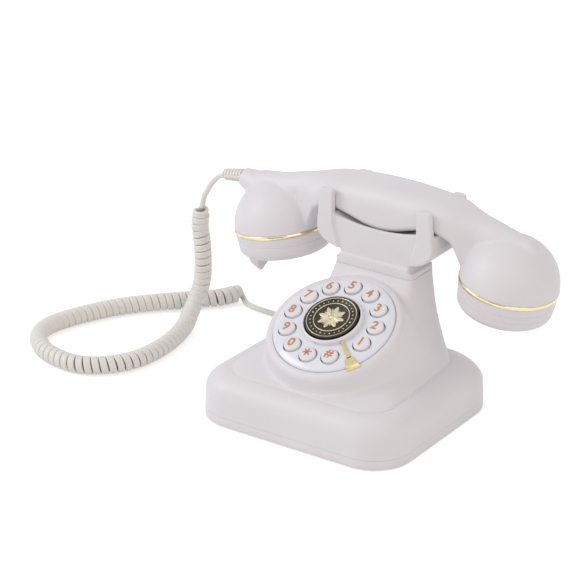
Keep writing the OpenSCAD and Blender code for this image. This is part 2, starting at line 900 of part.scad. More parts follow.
module handset_liner() {
    color("gainsboro")
        on_cradle()
            difference() {
                liner_strip(0, 0);
                for (side = [-1, 1])
                    translate([side * screw_stop, 0, underside(screw_stop)]) {
                        post(2.2, -bite, 4);
                        post(4.4, -bite, 1);
                    }
            }
}

module handset_screws() {
    color("silver")
        on_cradle()
            for (side = [-1, 1])
                translate([side * screw_stop, 0, underside(screw_stop)]) {
                    post(4, 0, 1);
                    post(1.8, 0.5, 7);
                }
}

weight_l = 40;
weight_w = 16;
weight_h = 9;
module handset_weight() {
    color("slategray")
        on_cradle()
            translate([-weight_l / 2, 0, underside(0) + handset_wall + 4.4 + weight_h / 2])
                rotate([0, 90, 0])
                    slab(weight_h, weight_w, 1.5, weight_l);
}

ring_h = 2.2;
module gold_ring(side) {
    color("gold")
        on_cup(side)
            rotate_extrude()
                polygon(concat([[dome_r - 2.2, -ring_h], [dome_r - 0.4, -ring_h]],
                    [for (a = [-60:30:60]) [cup_r - 0.5 + 0.5 * cos(a), -ring_h / 2 + 1.1 * sin(a)]],
                    [[dome_r - 0.4, 0], [dome_r - 2.2, 0]]));
}
module mouthpiece_ring() {
    gold_ring(-1);
}
module earpiece_ring() {
    gold_ring(1);
}

cap_r = dome_r - 0.1;
cap_round = 12;
cap_wall = 2;
groove_z = -7.2;
function cap_edge(h, inset) = [for (a = [0:10:90])
    [cap_r - cap_round + (cap_round - inset) * cos(a), -h + cap_round - (cap_round - inset) * sin(a)]];
module cap(side, h, holes, hole_d) {
    on_cup(side)
        difference() {
            rotate_extrude()
                polygon(concat(
                    [[cap_r - cap_wall, -ring_h], [cap_r, -ring_h], [cap_r, groove_z + 0.4],
                        [cap_r - 0.4, groove_z], [cap_r, groove_z - 0.4]],
                    cap_edge(h, 0), [[14, -h], [11, -h + 1.2], [0, -h + 1.2], [0, -h + 1.2 + cap_wall]],
                    [for (i = [9:-1:0]) cap_edge(h, cap_wall)[i]]));
            for (ring = holes, i = [1:ring[1]])
                rotate([0, 0, 360 * i / ring[1]])
                    translate([ring[0], 0, 0])
                        post(hole_d, -h - bite, -h + 4);
        }
}
hood_x = 21.2;
hood_z = -31.6;         // tip of the lip that stands down from the mouthpiece
module mouthpiece_cap() {
    color("whitesmoke") {
        cap(-1, mouth_cap_h, [[3.4, 6]], 1.6);
        on_cup(-1)
            difference() {
                translate([-hood_x, 0, hood_z])
                    cylinder(h = 18, r1 = 1.8, r2 = 7.6);
                translate([-hood_x + 11.6, 0, hood_z - bite])
                    cylinder(h = -mouth_cap_h - hood_z + bite, r1 = 7.4, r2 = 8.4);
                rotate_extrude()
                    polygon(concat([[0, 0], [cap_r - cap_wall / 2, 0]], cap_edge(mouth_cap_h, cap_wall / 2),
                        [[0, -mouth_cap_h + cap_wall / 2]]));
            }
    }
}
module earpiece_cap() {
    color("whitesmoke")
        cap(1, cap_h, [[0, 1], [3.4, 6], [6.8, 12]], 1.8);
}

module receiver_capsule() {
    color("dimgray")
        on_cup(1)
            translate([0, 0, -cap_h + 1.2 + cap_wall])
                rotate_extrude()
                    polygon([[0, 0.2], [8, 0.2], [8, 0], [15, 0], [15, 3], [11, 6.5], [0, 6.5]]);
}
module microphone_capsule() {
    color("dimgray")
        on_cup(-1)
            translate([0, 0, -mouth_cap_h + 1.2 + cap_wall])
                cylinder(d = 9.7, h = 6.5);
}

// ---- cord -------------------------------------------------------------------------------
// Route points, from the middle of the foot, on the desk's height.
lead_route = [[-122.2, 50, 101.1], [-127, 50, 100.2], [-132, 50, 96], [-136.6, 50, 88], [-139.2, 50, 78.4]];
coil_route = [[-139.4, 50, 77.4], [-138.6, 50, 66], [-137.6, 50, 54], [-137, 50, 41], [-138, 50, 28],
    [-140, 47, 17], [-140, 40, 9], [-136, 29, 6], [-131, 12, 6], [-129, -7, 6], [-131, -24, 6],
    [-137, -37, 6], [-146, -46, 6], [-157, -51, 6], [-170, -51, 6], [-184, -47, 6], [-196, -38, 6],
    [-203, -27, 6], [-204, -15, 6], [-200, 0, 6], [-194, 14, 6], [-187, 27, 6], [-178, 39, 6],
    [-169, 49, 6], [-160, 58, 6], [-151, 67, 6], [-143, 76, 6], [-138, 84, 6]];
base_route = [[-138.6, 83, 6], [-134.5, 84, 5], [-129.6, 81.2, 3.4], [-123.4, 80, 3], [-107, 80, 3],
    [-90, 81, 3], [-70, 82, 3], [-50, 82, 4], [-37, 79, 8], [-31, 73, 13], [-30, 67, 15]];

// Catmull-Rom point between q[1] and q[2].
function smooth(q, t) = 0.5 * (2 * q[1] + (q[2] - q[0]) * t + (2 * q[0] - 5 * q[1] + 4 * q[2] - q[3]) * t * t
    + (3 * q[1] - q[0] - 3 * q[2] + q[3]) * t * t * t);
function path(route, steps) = let (last = len(route) - 1) [
    for (i = [0:last - 1], s = [0:steps - 1])
        smooth([route[max(0, i - 1)], route[i], route[i + 1], route[min(last, i + 2)]], s / steps),
    route[last]];
function unit(v) = v / norm(v);
module tube(route, d, sides, steps) {
    p = path(route, steps);
    last = len(p) - 1;
    loft([for (i = [0:last])
        let (along = unit(p[min(last, i + 1)] - p[max(0, i - 1)]),
             ref = abs(along[2]) > 0.9 ? [0, 1, 0] : [0, 0, 1],
             u = unit(cross(ref, along)),
             v = cross(along, u))
        [for (k = [0:sides - 1]) p[i] + d / 2 * (cos(360 * k / sides) * u + sin(360 * k / sides) * v)]]);
}
module on_desk_cord() {
    translate([0, base_y, 0])
        children();
}

relief_l = 16;
module strain_relief() {
    ribs = 6;
    color("ivory")
        on_cradle()
            translate([horn_x, 0, horn_z])
                rotate([0, -90 - 8, 0])
                    {
                        translate([0, 0, -6])
                            cylinder(d = 4.6, h = 6.2);
                        rotate_extrude()
                            polygon(concat([[0, 0]],
                                [for (i = [0:ribs - 1]) for (q = [[0, 0], [0.55, 0], [0.55, -0.7], [1, -0.7]])
                                    let (at = (i + q[0]) / ribs)
                                    [(horn_d - 1.4 * at) / 2 + q[1], at * relief_l]],
                                [[0, relief_l]]));
                    }
}
module handset_lead() {
    color("ivory")
        on_desk_cord()
            tube(lead_route, lead_d, 8, 4);
}
module curly_coil() {
    color("ivory")
        on_desk_cord()
            tube(coil_route, coil_d, 12, 2);
}
module base_lead() {
    color("ivory")
        on_desk_cord()
            tube(base_route, lead_d, 8, 3);
}

plug_l = 14;
module cord_plug() {
    color("white")
        on_desk()
            translate([handset_jack_x - plug_w / 2, jack_face - socket_l + 1, jack_z + jack_h / 2])
                translate([0, 0, fit_gap - socket_h / 2])
                    cube([plug_w, plug_l, socket_h - 2 * fit_gap]);
}

// ---- drawing ----------------------------------------------------------------------------
base_shell();
bottom_cover();
rubber_feet();
base_screws();
ballast_plate();
main_board();
board_screws();
ringer_speaker();
ringer_switch();
ringer_knob();
line_jack();
handset_jack();
dial_plate();
dial_hub();
finger_stop();
key_mat();
key_board();
key_board_screws();
for (i = [0:11]) key(i);
medallion();
redial_rocker();
cradle();
cradle_screws();
hook_plunger();
hook_switch();
hook_board();
handset_shell();
handset_liner();
handset_screws();
handset_weight();
mouthpiece_ring();
earpiece_ring();
mouthpiece_cap();
earpiece_cap();
microphone_capsule();
receiver_capsule();
strain_relief();
handset_lead();
curly_coil();
base_lead();
cord_plug();
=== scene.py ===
import json
import math

import bmesh
import bpy
from mathutils import Matrix, Vector

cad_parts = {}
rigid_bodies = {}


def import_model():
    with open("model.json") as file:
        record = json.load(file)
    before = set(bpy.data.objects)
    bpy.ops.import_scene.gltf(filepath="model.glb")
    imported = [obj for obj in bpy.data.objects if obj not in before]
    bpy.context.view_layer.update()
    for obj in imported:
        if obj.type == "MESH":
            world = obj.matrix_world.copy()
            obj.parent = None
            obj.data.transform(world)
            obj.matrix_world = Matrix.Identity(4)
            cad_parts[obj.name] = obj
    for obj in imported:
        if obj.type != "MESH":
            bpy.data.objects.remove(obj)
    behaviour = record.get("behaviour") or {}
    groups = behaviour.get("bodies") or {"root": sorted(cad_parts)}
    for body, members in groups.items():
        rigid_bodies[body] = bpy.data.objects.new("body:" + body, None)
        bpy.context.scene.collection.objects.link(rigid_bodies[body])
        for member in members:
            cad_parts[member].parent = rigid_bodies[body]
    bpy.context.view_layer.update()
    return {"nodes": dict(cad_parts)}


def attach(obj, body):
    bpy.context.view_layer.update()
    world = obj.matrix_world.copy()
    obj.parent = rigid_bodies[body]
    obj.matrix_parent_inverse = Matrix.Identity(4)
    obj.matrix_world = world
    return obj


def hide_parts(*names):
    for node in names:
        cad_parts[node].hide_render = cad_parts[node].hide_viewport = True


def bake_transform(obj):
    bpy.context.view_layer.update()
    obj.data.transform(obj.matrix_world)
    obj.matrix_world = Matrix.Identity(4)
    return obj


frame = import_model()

mm = 0.001
baseY = -9.375    # the foot's middle in the frame, in millimetres
footLift = 0.8    # the rubber feet stand this far proud


# Places that pieces are built in, in millimetres until they are finished
def place(x, y, z):
    return Matrix.Translation((x, y + baseY, z + footLift))

seats = {"dial": (0, -12, 57.5), "dialLean": 25.4, "cradleY": 50, "cupX": 77.6, "cupZ": 80.4,
         "cupLean": 10}
deskFrame = place(0, 0, 0)
dialFrame = place(*seats["dial"]) @ Matrix.Rotation(math.radians(seats["dialLean"]), 4, "X")
cradleFrame = place(0, seats["cradleY"], 0)

def cupFrame(side):
    return place(side * seats["cupX"], seats["cradleY"], seats["cupZ"]) \
        @ Matrix.Rotation(math.radians(side * seats["cupLean"]), 4, "Y")


# Camera and room
view = {"azimuth": 34.5, "elevation": 24.05, "distance": 1.53, "lens": 165.26, "sensor": 36,
        "nearest": 0.05, "target": (-0.03817, -0.009375, 0.065)}

def turnedTo(at, direction):
    return Matrix.Translation(at) @ direction.to_track_quat("Z", "Y").to_matrix().to_4x4()

def makeCamera():
    swing, rise = math.radians(view["azimuth"]), math.radians(view["elevation"])
    back = Vector((math.sin(swing) * math.cos(rise), -math.cos(swing) * math.cos(rise),
                   math.sin(rise)))
    lens = bpy.data.cameras.new("camera")
    lens.lens = view["lens"]
    lens.sensor_width = view["sensor"]
    lens.clip_start = view["nearest"]
    camera = bpy.data.objects.new("camera", lens)
    camera.matrix_world = turnedTo(Vector(view["target"]) + back * view["distance"], back)
    bpy.context.scene.collection.objects.link(camera)
    bpy.context.scene.camera = camera

def nodesOf(material):
    material.use_nodes = True
    tree = material.node_tree
    return tree.nodes, tree.links

room = {"sky": (0.98, 0.98, 1.0), "skyLight": 0.68, "paper": (0.86, 0.86, 0.86), "floorGlow": 0.5,
        "floorSize": 3, "floorAt": -0.0001, "lampAim": (0, 0, 0.06), "lamps": {
            "keyLight": {"at": (-1.25, -0.85, 1.05), "size": 0.9, "power": 8.7,
                         "tint": (1.0, 0.99, 1.0)},
            "fillLight": {"at": (1.2, -0.7, 0.8), "size": 1.2, "power": 3.8,
                          "tint": (1.0, 0.8, 0.66)}},
        "cardAt": (0.42, -1.75, 0.24), "cardAim": (-0.02, 0.04, 0.06), "cardSize": (1.3, 0.46),
        "felt": (0.01, 0.01, 0.01)}

def seenBy(nodes, links, rays=("Is Camera Ray", "Is Glossy Ray", "Is Transmission Ray")):
    path = nodes.new("ShaderNodeLightPath")
    total = None
    for ray in rays:
        if total is None:
            total = path.outputs[ray]
            continue
        either = nodes.new("ShaderNodeMath")
        either.operation = "MAXIMUM"
        links.new(total, either.inputs[0])
        links.new(path.outputs[ray], either.inputs[1])
        total = either.outputs[0]
    return total

def makeGrid(name, size):
    bm = bmesh.new()
    bmesh.ops.create_grid(bm, x_segments=2, y_segments=2, size=size)
    mesh = bpy.data.meshes.new(name)
    bm.to_mesh(mesh)
    bm.free()
    grid = bpy.data.objects.new(name, mesh)
    bpy.context.scene.collection.objects.link(grid)
    return grid

def makeSky():
    world = bpy.data.worlds.new("studio")
    bpy.context.scene.world = world
    nodes, links = nodesOf(world)
    nodes.clear()
    out = nodes.new("ShaderNodeOutputWorld")
    mix = nodes.new("ShaderNodeMixShader")
    dim, white = nodes.new("ShaderNodeBackground"), nodes.new("ShaderNodeBackground")
    dim.inputs["Color"].default_value = (*room["sky"], 1)
    dim.inputs["Strength"].default_value = room["skyLight"]
    white.inputs["Color"].default_value = (1, 1, 1, 1)
    white.inputs["Strength"].default_value = 1
    links.new(seenBy(nodes, links), mix.inputs[0])
    links.new(dim.outputs[0], mix.inputs[1])
    links.new(white.outputs[0], mix.inputs[2])
    links.new(mix.outputs[0], out.inputs[0])

def makeFloor():
    floor = makeGrid("floor", room["floorSize"])
    floor.location = (0, 0, room["floorAt"])
    paper = bpy.data.materials.new("whitePaper")
    nodes, links = nodesOf(paper)
    nodes.clear()
    out = nodes.new("ShaderNodeOutputMaterial")
    diffuse, glow, add, mix = (nodes.new("ShaderNode" + kind) for kind in (
        "BsdfDiffuse", "Emission", "AddShader", "MixShader"))
    diffuse.inputs["Color"].default_value = (*room["paper"], 1)
    glow.inputs["Strength"].default_value = room["floorGlow"]
    links.new(diffuse.outputs[0], add.inputs[0])
    links.new(glow.outputs[0], add.inputs[1])
    links.new(seenBy(nodes, links), mix.inputs[0])
    links.new(diffuse.outputs[0], mix.inputs[1])
    links.new(add.outputs[0], mix.inputs[2])
    links.new(mix.outputs[0], out.inputs[0])
    floor.data.materials.append(paper)

def makeLamps():
    for name, lamp in room["lamps"].items():
        data = bpy.data.lights.new(name, "AREA")
        data.energy = lamp["power"]
        data.size = lamp["size"]
        data.color = lamp["tint"]
        light = bpy.data.objects.new(name, data)
        light.matrix_world = turnedTo(lamp["at"], Vector(lamp["at"]) - Vector(room["lampAim"]))
        bpy.context.scene.collection.objects.link(light)

# a dark card for the metal to mirror
def makeCard():
    card = makeGrid("darkCard", 0.5)
    at = Vector(room["cardAt"])
    card.matrix_world = turnedTo(at, Vector(room["cardAim"]) - at) \
        @ Matrix.Diagonal((*room["cardSize"], 1, 1))
    felt = bpy.data.materials.new("darkFelt")
    felt.use_nodes = True
    felt.node_tree.nodes["Principled BSDF"].inputs["Base Color"].default_value = (*room["felt"], 1)
    card.data.materials.append(felt)
    for ray in ("visible_camera", "visible_diffuse", "visible_shadow", "visible_transmission"):
        setattr(card, ray, False)

makeCamera()
makeSky()
makeFloor()
makeLamps()
makeCard()
bpy.context.scene.view_settings.view_transform = "Standard"
print("camera and room are ready")


# Materials
grainOf = {"scale": 1500, "depth": 0.00006, "wander": 0.05, "ior": 1.5, "cloudDetail": 3,
           "fineDetail": 2, "ramp": (0.35, 0.65), "lighter": 1.03}

def surface(name, colour, roughness, metallic=0.0, tint=None, mottle=28, bump=0.08, coat=0.0):
    material = bpy.data.materials.new(name)
    nodes, links = nodesOf(material)
    shader = nodes["Principled BSDF"]
    shader.inputs["Metallic"].default_value = metallic
    shader.inputs["IOR"].default_value = grainOf["ior"]
    shader.inputs["Coat Weight"].default_value = coat
    where = nodes.new("ShaderNodeTexCoord").outputs["Object"]
    clouds, fine = nodes.new("ShaderNodeTexNoise"), nodes.new("ShaderNodeTexNoise")
    for node, scale, detail in ((clouds, mottle, grainOf["cloudDetail"]),
                                (fine, grainOf["scale"], grainOf["fineDetail"])):
        node.inputs["Scale"].default_value = scale
        node.inputs["Detail"].default_value = detail
        links.new(where, node.inputs["Vector"])
    ramp = nodes.new("ShaderNodeValToRGB")
    tint = tint or [min(1, c * grainOf["lighter"]) for c in colour]
    for stop, at, shade in zip(ramp.color_ramp.elements, grainOf["ramp"], (colour, tint)):
        stop.position = at
        stop.color = (*shade, 1)
    links.new(clouds.outputs["Fac"], ramp.inputs["Fac"])
    links.new(ramp.outputs["Color"], shader.inputs["Base Color"])
    spread = nodes.new("ShaderNodeMapRange")
    spread.inputs["To Min"].default_value = roughness - grainOf["wander"]
    spread.inputs["To Max"].default_value = roughness + grainOf["wander"]
    links.new(fine.outputs["Fac"], spread.inputs["Value"])
    links.new(spread.outputs["Result"], shader.inputs["Roughness"])
    lift = nodes.new("ShaderNodeBump")
    lift.inputs["Strength"].default_value = bump
    lift.inputs["Distance"].default_value = grainOf["depth"]
    links.new(fine.outputs["Fac"], lift.inputs["Height"])
    links.new(lift.outputs["Normal"], shader.inputs["Normal"])
    return material

shellWhite = surface("shellWhite", (0.765, 0.735, 0.755), 0.46, tint=(0.78, 0.755, 0.77), bump=0.12)
dialWhite = surface("dialWhite", (0.79, 0.805, 0.855), 0.22, tint=(0.8, 0.815, 0.865), bump=0.03,
                    coat=0.3)
keyWhite = surface("keyWhite", (0.8, 0.775, 0.8), 0.3, tint=(0.81, 0.79, 0.81), bump=0.05)
hubWhite = surface("hubWhite", (0.78, 0.745, 0.775), 0.32, bump=0.05)
paleGold = surface("paleGold", (0.76, 0.67, 0.42), 0.14, metallic=1, tint=(0.8, 0.71, 0.46),
                   bump=0.03)
brushedGold = surface("brushedGold", (0.62, 0.52, 0.28), 0.27, metallic=1, tint=(0.68, 0.58, 0.33),
                      mottle=300, bump=0.06)
agedBronze = surface("agedBronze", (0.035, 0.03, 0.024), 0.42, metallic=0.6,
                     tint=(0.06, 0.05, 0.04), mottle=400, bump=0.15)
bronzeRelief = surface("bronzeRelief", (0.78, 0.71, 0.52), 0.3, metallic=0.9,
                       tint=(0.55, 0.48, 0.33), mottle=260, bump=0.1)
copperInk = surface("copperInk", (0.5, 0.23, 0.12), 0.38, metallic=0.4, tint=(0.58, 0.3, 0.17),
                    bump=0.03, mottle=700)
cordIvory = surface("cordIvory", (0.8, 0.77, 0.715), 0.4, tint=(0.825, 0.795, 0.745), bump=0.08,
                    mottle=120)
blackMoulding = surface("blackMoulding", (0.02, 0.02, 0.022), 0.45, bump=0.15)
blackRubber = surface("blackRubber", (0.025, 0.025, 0.025), 0.75, bump=0.3)
zincSteel = surface("zincSteel", (0.56, 0.56, 0.57), 0.32, metallic=1, bump=0.1)
boardGreen = surface("boardGreen", (0.02, 0.13, 0.06), 0.4, bump=0.1)
jackGrey = surface("jackGrey", (0.5, 0.5, 0.49), 0.4, bump=0.08)
clearPlug = surface("clearPlug", (0.75, 0.77, 0.77), 0.15, bump=0.03, coat=0.3)

keyNames = ["key_%d" % n for n in (1, 2, 3, 4, 5, 6, 7, 8, 9, 0)] + ["key_star", "key_hash"]
finishes = (
    (shellWhite, ("base_shell", "bottom_cover", "cradle", "handset_shell", "handset_liner",
                  "mouthpiece_cap", "earpiece_cap", "hook_plunger")),
    (dialWhite, ("dial_plate",)), (hubWhite, ("dial_hub",)), (agedBronze, ("medallion",)),
    (brushedGold, ("finger_stop",)), (paleGold, ("mouthpiece_ring", "earpiece_ring")),
    (keyWhite, ("ringer_knob", *keyNames)), (blackRubber, ("rubber_feet", "key_mat")),
    (blackMoulding, ("redial_rocker", "ringer_speaker", "microphone_capsule",
                     "receiver_capsule", "ringer_switch", "hook_switch")),
    (zincSteel, ("base_screws", "board_screws", "key_board_screws", "cradle_screws",
                 "handset_screws", "ballast_plate", "handset_weight")),
    (boardGreen, ("main_board", "key_board", "hook_board")),
    (jackGrey, ("line_jack", "handset_jack")), (clearPlug, ("cord_plug",)),
    (cordIvory, ("strain_relief", "handset_lead", "curly_coil", "base_lead")))
for material, nodes in finishes:
    for node in nodes:
        mesh = frame["nodes"][node].data
        mesh.materials.clear()
        mesh.materials.append(material)
print("materials are on the frame")


# Mesh helpers, in millimetres
def seat(bm, where):
    bmesh.ops.transform(bm, matrix=where, verts=bm.verts)

def shift(bm, by):
    bmesh.ops.translate(bm, vec=by, verts=bm.verts)

def turn(bm, angle, axis):
    bmesh.ops.rotate(bm, matrix=Matrix.Rotation(angle, 3, axis), verts=bm.verts)

def around(radius, angle):
    return radius * math.cos(angle), radius * math.sin(angle), 0

def flipped(points):
    return [(x, -z) for x, z in points]

def newPiece(name, bm, body, material, where=None, smooth=True, replaces=()):
    if where is not None:
        seat(bm, where)
    bmesh.ops.scale(bm, vec=(mm, mm, mm), verts=bm.verts)
    mesh = bpy.data.meshes.new(name)
    bm.to_mesh(mesh)
    bm.free()
    for face in mesh.polygons:
        face.use_smooth = smooth
    mesh.materials.append(material)
    piece = bpy.data.objects.new(name, mesh)
    bpy.context.scene.collection.objects.link(piece)
    if body:
        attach(piece, body)
    if replaces:
        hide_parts(*replaces)
    return piece

def baked(bm, modifiers, cutters=(), operation="DIFFERENCE"):
    mesh = bpy.data.meshes.new("work")
    bm.to_mesh(mesh)
    bm.free()
    work = bpy.data.objects.new("work", mesh)
    bpy.context.scene.collection.objects.link(work)
    tools = []
    for cutter in cutters:
        toolMesh = bpy.data.meshes.new("tool")
        cutter.to_mesh(toolMesh)
        cutter.free()
        tool = bpy.data.objects.new("tool", toolMesh)
        bpy.context.scene.collection.objects.link(tool)
        tools.append(tool)
        cut = work.modifiers.new("cut", "BOOLEAN")
        cut.operation = operation
        cut.object = tool
    for kind, settings in modifiers:
        modifier = work.modifiers.new(kind.lower(), kind)
        for key, value in settings.items():
            setattr(modifier, key, value)
    result = work.evaluated_get(bpy.context.evaluated_depsgraph_get()).to_mesh()
    out = bmesh.new()
    out.from_mesh(result)
    for thing in [work] + tools:
        old = thing.data
        bpy.data.objects.remove(thing)
        bpy.data.meshes.remove(old)
    return out

def carved(bm, *cutters):
    return baked(bm, [], cutters)

def remeshed(bm, voxel, smooth=0, cutters=()):
    steps = [("REMESH", {"mode": "VOXEL", "voxel_size": voxel})]
    if smooth:
        steps.append(("SMOOTH", {"factor": 0.5, "iterations": smooth}))
    return baked(bm, steps, cutters)

def sliced(bm, geom, at, normal, keepAbove=True):
    cut = bmesh.ops.bisect_plane(bm, geom=geom, plane_co=at, plane_no=normal,
                                 clear_inner=keepAbove, clear_outer=not keepAbove)
    rim = [g for g in cut["geom_cut"] if isinstance(g, bmesh.types.BMEdge)]
    bmesh.ops.edgeloop_fill(bm, edges=rim)

def sharpen(piece, angle):
    limit = math.radians(angle)
    bm = bmesh.new()
    bm.from_mesh(piece.data)
    for edge in bm.edges:
        edge.smooth = len(edge.link_faces) == 2 and edge.calc_face_angle(0) < limit
    bm.to_mesh(piece.data)
    bm.free()

def joined(*parts):
    whole = bmesh.new()
    for part in parts:
        mesh = bpy.data.meshes.new("part")
        part.to_mesh(mesh)
        part.free()
        whole.from_mesh(mesh)
        bpy.data.meshes.remove(mesh)
    return whole

def loft(rings):
    bm = bmesh.new()
    order = bm.verts.layers.int.new("order")
    verts = bmesh.ops.create_circle(bm, cap_ends=False, radius=1, segments=len(rings[0]))["verts"]
    for k, vert in enumerate(verts):
        vert[order] = k
    edges = list(bm.edges)
    firstEdges = edges
    for n, ring in enumerate(rings):
        if n:
            grown = bmesh.ops.extrude_edge_only(bm, edges=edges)["geom"]
            verts = [g for g in grown if isinstance(g, bmesh.types.BMVert)]
            fresh = set(verts)
            edges = [g for g in grown
                     if isinstance(g, bmesh.types.BMEdge) and set(g.verts) <= fresh]
        for vert in verts:
            vert.co = ring[vert[order]]
    bmesh.ops.edgeloop_fill(bm, edges=firstEdges)
    bmesh.ops.edgeloop_fill(bm, edges=edges)
    bmesh.ops.recalc_face_normals(bm, faces=bm.faces)
    return bm

def turned(profile, steps=96):
    bm = bmesh.new()
    verts = [bm.verts.new((r, 0, z)) for r, z in profile]
    edges = [bm.edges.new(pair) for pair in zip(verts, verts[1:])]
    bmesh.ops.spin(bm, geom=verts + edges, axis=(0, 0, 1), cent=(0, 0, 0), angle=math.tau,
                   steps=steps, use_merge=True)
    bmesh.ops.remove_doubles(bm, verts=bm.verts, dist=0.0005)
    bmesh.ops.recalc_face_normals(bm, faces=bm.faces)
    return bm

def arc(cx, cz, r, start, end, steps):
    angles = [math.radians(start + (end - start) * n / steps) for n in range(steps + 1)]
    return [(cx + r * math.cos(a), cz + r * math.sin(a)) for a in angles]

def block(low, high):
    bm = bmesh.new()
    bmesh.ops.create_cube(bm, size=1)
    size = [b - a for a, b in zip(low, high)]
    bmesh.ops.scale(bm, vec=size, verts=bm.verts)
    shift(bm, [(a + b) / 2 for a, b in zip(low, high)])
    return bm

def rod(radius, low, high, steps=48, radiusHigh=None):
    bm = bmesh.new()
    bmesh.ops.create_cone(bm, cap_ends=True, segments=steps, radius1=radius,
                          radius2=radius if radiusHigh is None else radiusHigh, depth=high - low)
    shift(bm, (0, 0, (low + high) / 2))
    return bm

def ball(radius, across, high):
    bm = bmesh.new()
    bmesh.ops.create_uvsphere(bm, u_segments=across, v_segments=high, radius=radius)
    return bm

def ease(t):
    t = max(0.0, min(1.0, t))
    return t * t * (3 - 2 * t)

def oblong(half, low, high, roundLow, roundHigh, steps=8):
    points = []
    for corner in range(4):
        right = 1 if corner in (0, 3) else -1
        top = corner < 2
        r = roundHigh if top else roundLow
        for n in range(steps + 1):
            a = math.radians((corner + n / steps) * 90)
            points.append((right * (half - r) + r * math.cos(a),
                           (high - r if top else low + r) + r * math.sin(a)))
    return points


# Cord
cord = {"leadRoute": [(-118.9, 50, 101.5), (-122.4, 50, 100.6), (-125.6, 50, 98.4),
                      (-129.4, 50, 94.1), (-132.8, 50, 88.8), (-135.8, 50, 82.4)],
        "coilRoute": [(-138.2, 50, 76.4), (-138.9, 50, 66), (-137.6, 50, 54), (-137, 50, 41),
                      (-138, 50, 28), (-140, 47, 17), (-140, 40, 9), (-136, 29, 6), (-131, 12, 6),
                      (-129, -7, 6), (-131, -24, 6), (-137, -37, 6), (-146, -46, 6),
                      (-157, -51, 6), (-170, -51, 6), (-184, -47, 6), (-196, -38, 6),
                      (-203, -27, 6), (-204, -15, 6), (-200, 0, 6), (-194, 14, 6), (-187, 27, 6),
                      (-178, 39, 6), (-169, 49, 6), (-160, 58, 6), (-151, 67, 6),
                      (-143.2, 75, 6), (-136.2, 86.6, 6)],
        "baseRoute": [(-133, 86.6, 3.6), (-129.6, 84.6, 2.3), (-125.2, 82.8, 2.0),
                      (-118.5, 81.6, 2.0), (-107, 81, 2.0), (-90, 81.4, 2.0), (-70, 82, 2.0),
                      (-50, 82, 2.9), (-37, 79, 8), (-31, 73, 13), (-30, 67, 15)],
        "leadWidth": 3.5, "leadThickness": 3.0, "coilWidth": 11.0, "ribbonWidth": 4.3,
        "ribbonThickness": 2.3, "turns": 82, "spacing": 0.25, "rise": (6, 20, 8, 14),
        "widen": (12, 16, 12, 16), "margin": 8, "leadStep": 6, "curveSteps": 24,
        "section": [(1, 0), (0.93, 0.55), (0.7, 0.93), (0.38, 1), (0, 0.72), (-0.38, 1),
                    (-0.7, 0.93), (-0.93, 0.55), (-1, 0), (-0.8, -0.75), (-0.4, -1), (0, -1),
                    (0.4, -1), (0.8, -0.75)]}

def smoothLine(route, steps):
    points = [Vector(p) for p in route]
    line = []
    for i in range(len(points) - 1):
        a, b, c, d = (points[max(0, i - 1)], points[i], points[i + 1],
                      points[min(len(points) - 1, i + 2)])
        for n in range(steps):
            t = n / steps
            line.append(0.5 * (2 * b + (c - a) * t + (2 * a - 5 * b + 4 * c - d) * t * t
                               + (3 * b - a - 3 * c + d) * t ** 3))
    return line + [points[-1]]

def evenly(line, spacing):
    out, walked, nextAt = [line[0]], 0.0, spacing
    for a, b in zip(line, line[1:]):
        step = (b - a).length
        while walked + step >= nextAt:
            out.append(a.lerp(b, (nextAt - walked) / step))
            nextAt += spacing
        walked += step
    return out

def makeCord(reliefPiece):
    route = cord["leadRoute"] + cord["coilRoute"][1:] + cord["baseRoute"]
    line = evenly(smoothLine(route, cord["curveSteps"]), cord["spacing"])
    top, foot = Vector(cord["coilRoute"][0]), Vector(cord["coilRoute"][-1])
    first = min(range(len(line)), key=lambda i: (line[i] - top).length)
    last = min(range(len(line)), key=lambda i: (line[i] - foot).length)
    radius = (cord["coilWidth"] - cord["ribbonThickness"]) / 2
    # carry a steady pair of directions along the line
    along = [(line[min(i + 1, len(line) - 1)] - line[max(i - 1, 0)]).normalized()
             for i in range(len(line))]
    side = Vector((0, 1, 0)).cross(along[0]).normalized()
    sides = []
    for t in along:
        side = (side - t * side.dot(t)).normalized()
        sides.append(side)
    def fades(i, before, over, after, under):
        return ease((i - first + before) / over), ease((last + after - i) / under)
    path, outward = [], []
    for i, point in enumerate(line):
        share = (i - first) / (last - first)
        angle = math.tau * cord["turns"] * max(0.0, min(1.0, share))
        start, end = fades(i, *cord["rise"])
        out = sides[i] * math.cos(angle) + along[i].cross(sides[i]) * math.sin(angle)
        path.append(point + out * (radius * start * end))
        outward.append(out)
    # the straight leads need fewer rings
    keep = [i for i in range(len(path)) if i % cord["leadStep"] == 0 or i == len(path) - 1
            or first - cord["margin"] <= i <= last + cord["margin"]]
    coiled = [math.prod(fades(i, *cord["widen"])) for i in keep]
    path, outward = [path[i] for i in keep], [outward[i] for i in keep]
    thin = cord["leadWidth"], cord["leadThickness"]
    wide = cord["ribbonWidth"], cord["ribbonThickness"]
    rings = []
    for i, point in enumerate(path):
        ahead = (path[min(i + 1, len(path) - 1)] - path[max(i - 1, 0)]).normalized()
        out = (outward[i] - ahead * outward[i].dot(ahead)).normalized()
        across = ahead.cross(out)
        w, t = ((a + (b - a) * coiled[i]) / 2 for a, b in zip(thin, wide))
        rings.append([point + across * (w * a) + out * (t * b) for a, b in cord["section"]])
    piece = newPiece("curlyCord", loft(rings), None, cordIvory, where=place(0, 0, -footLift),
                     replaces=("handset_lead", "curly_coil", "base_lead"))
    path = [(p + Vector((0, baseY, 0))) * mm for p in path]
    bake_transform(piece)


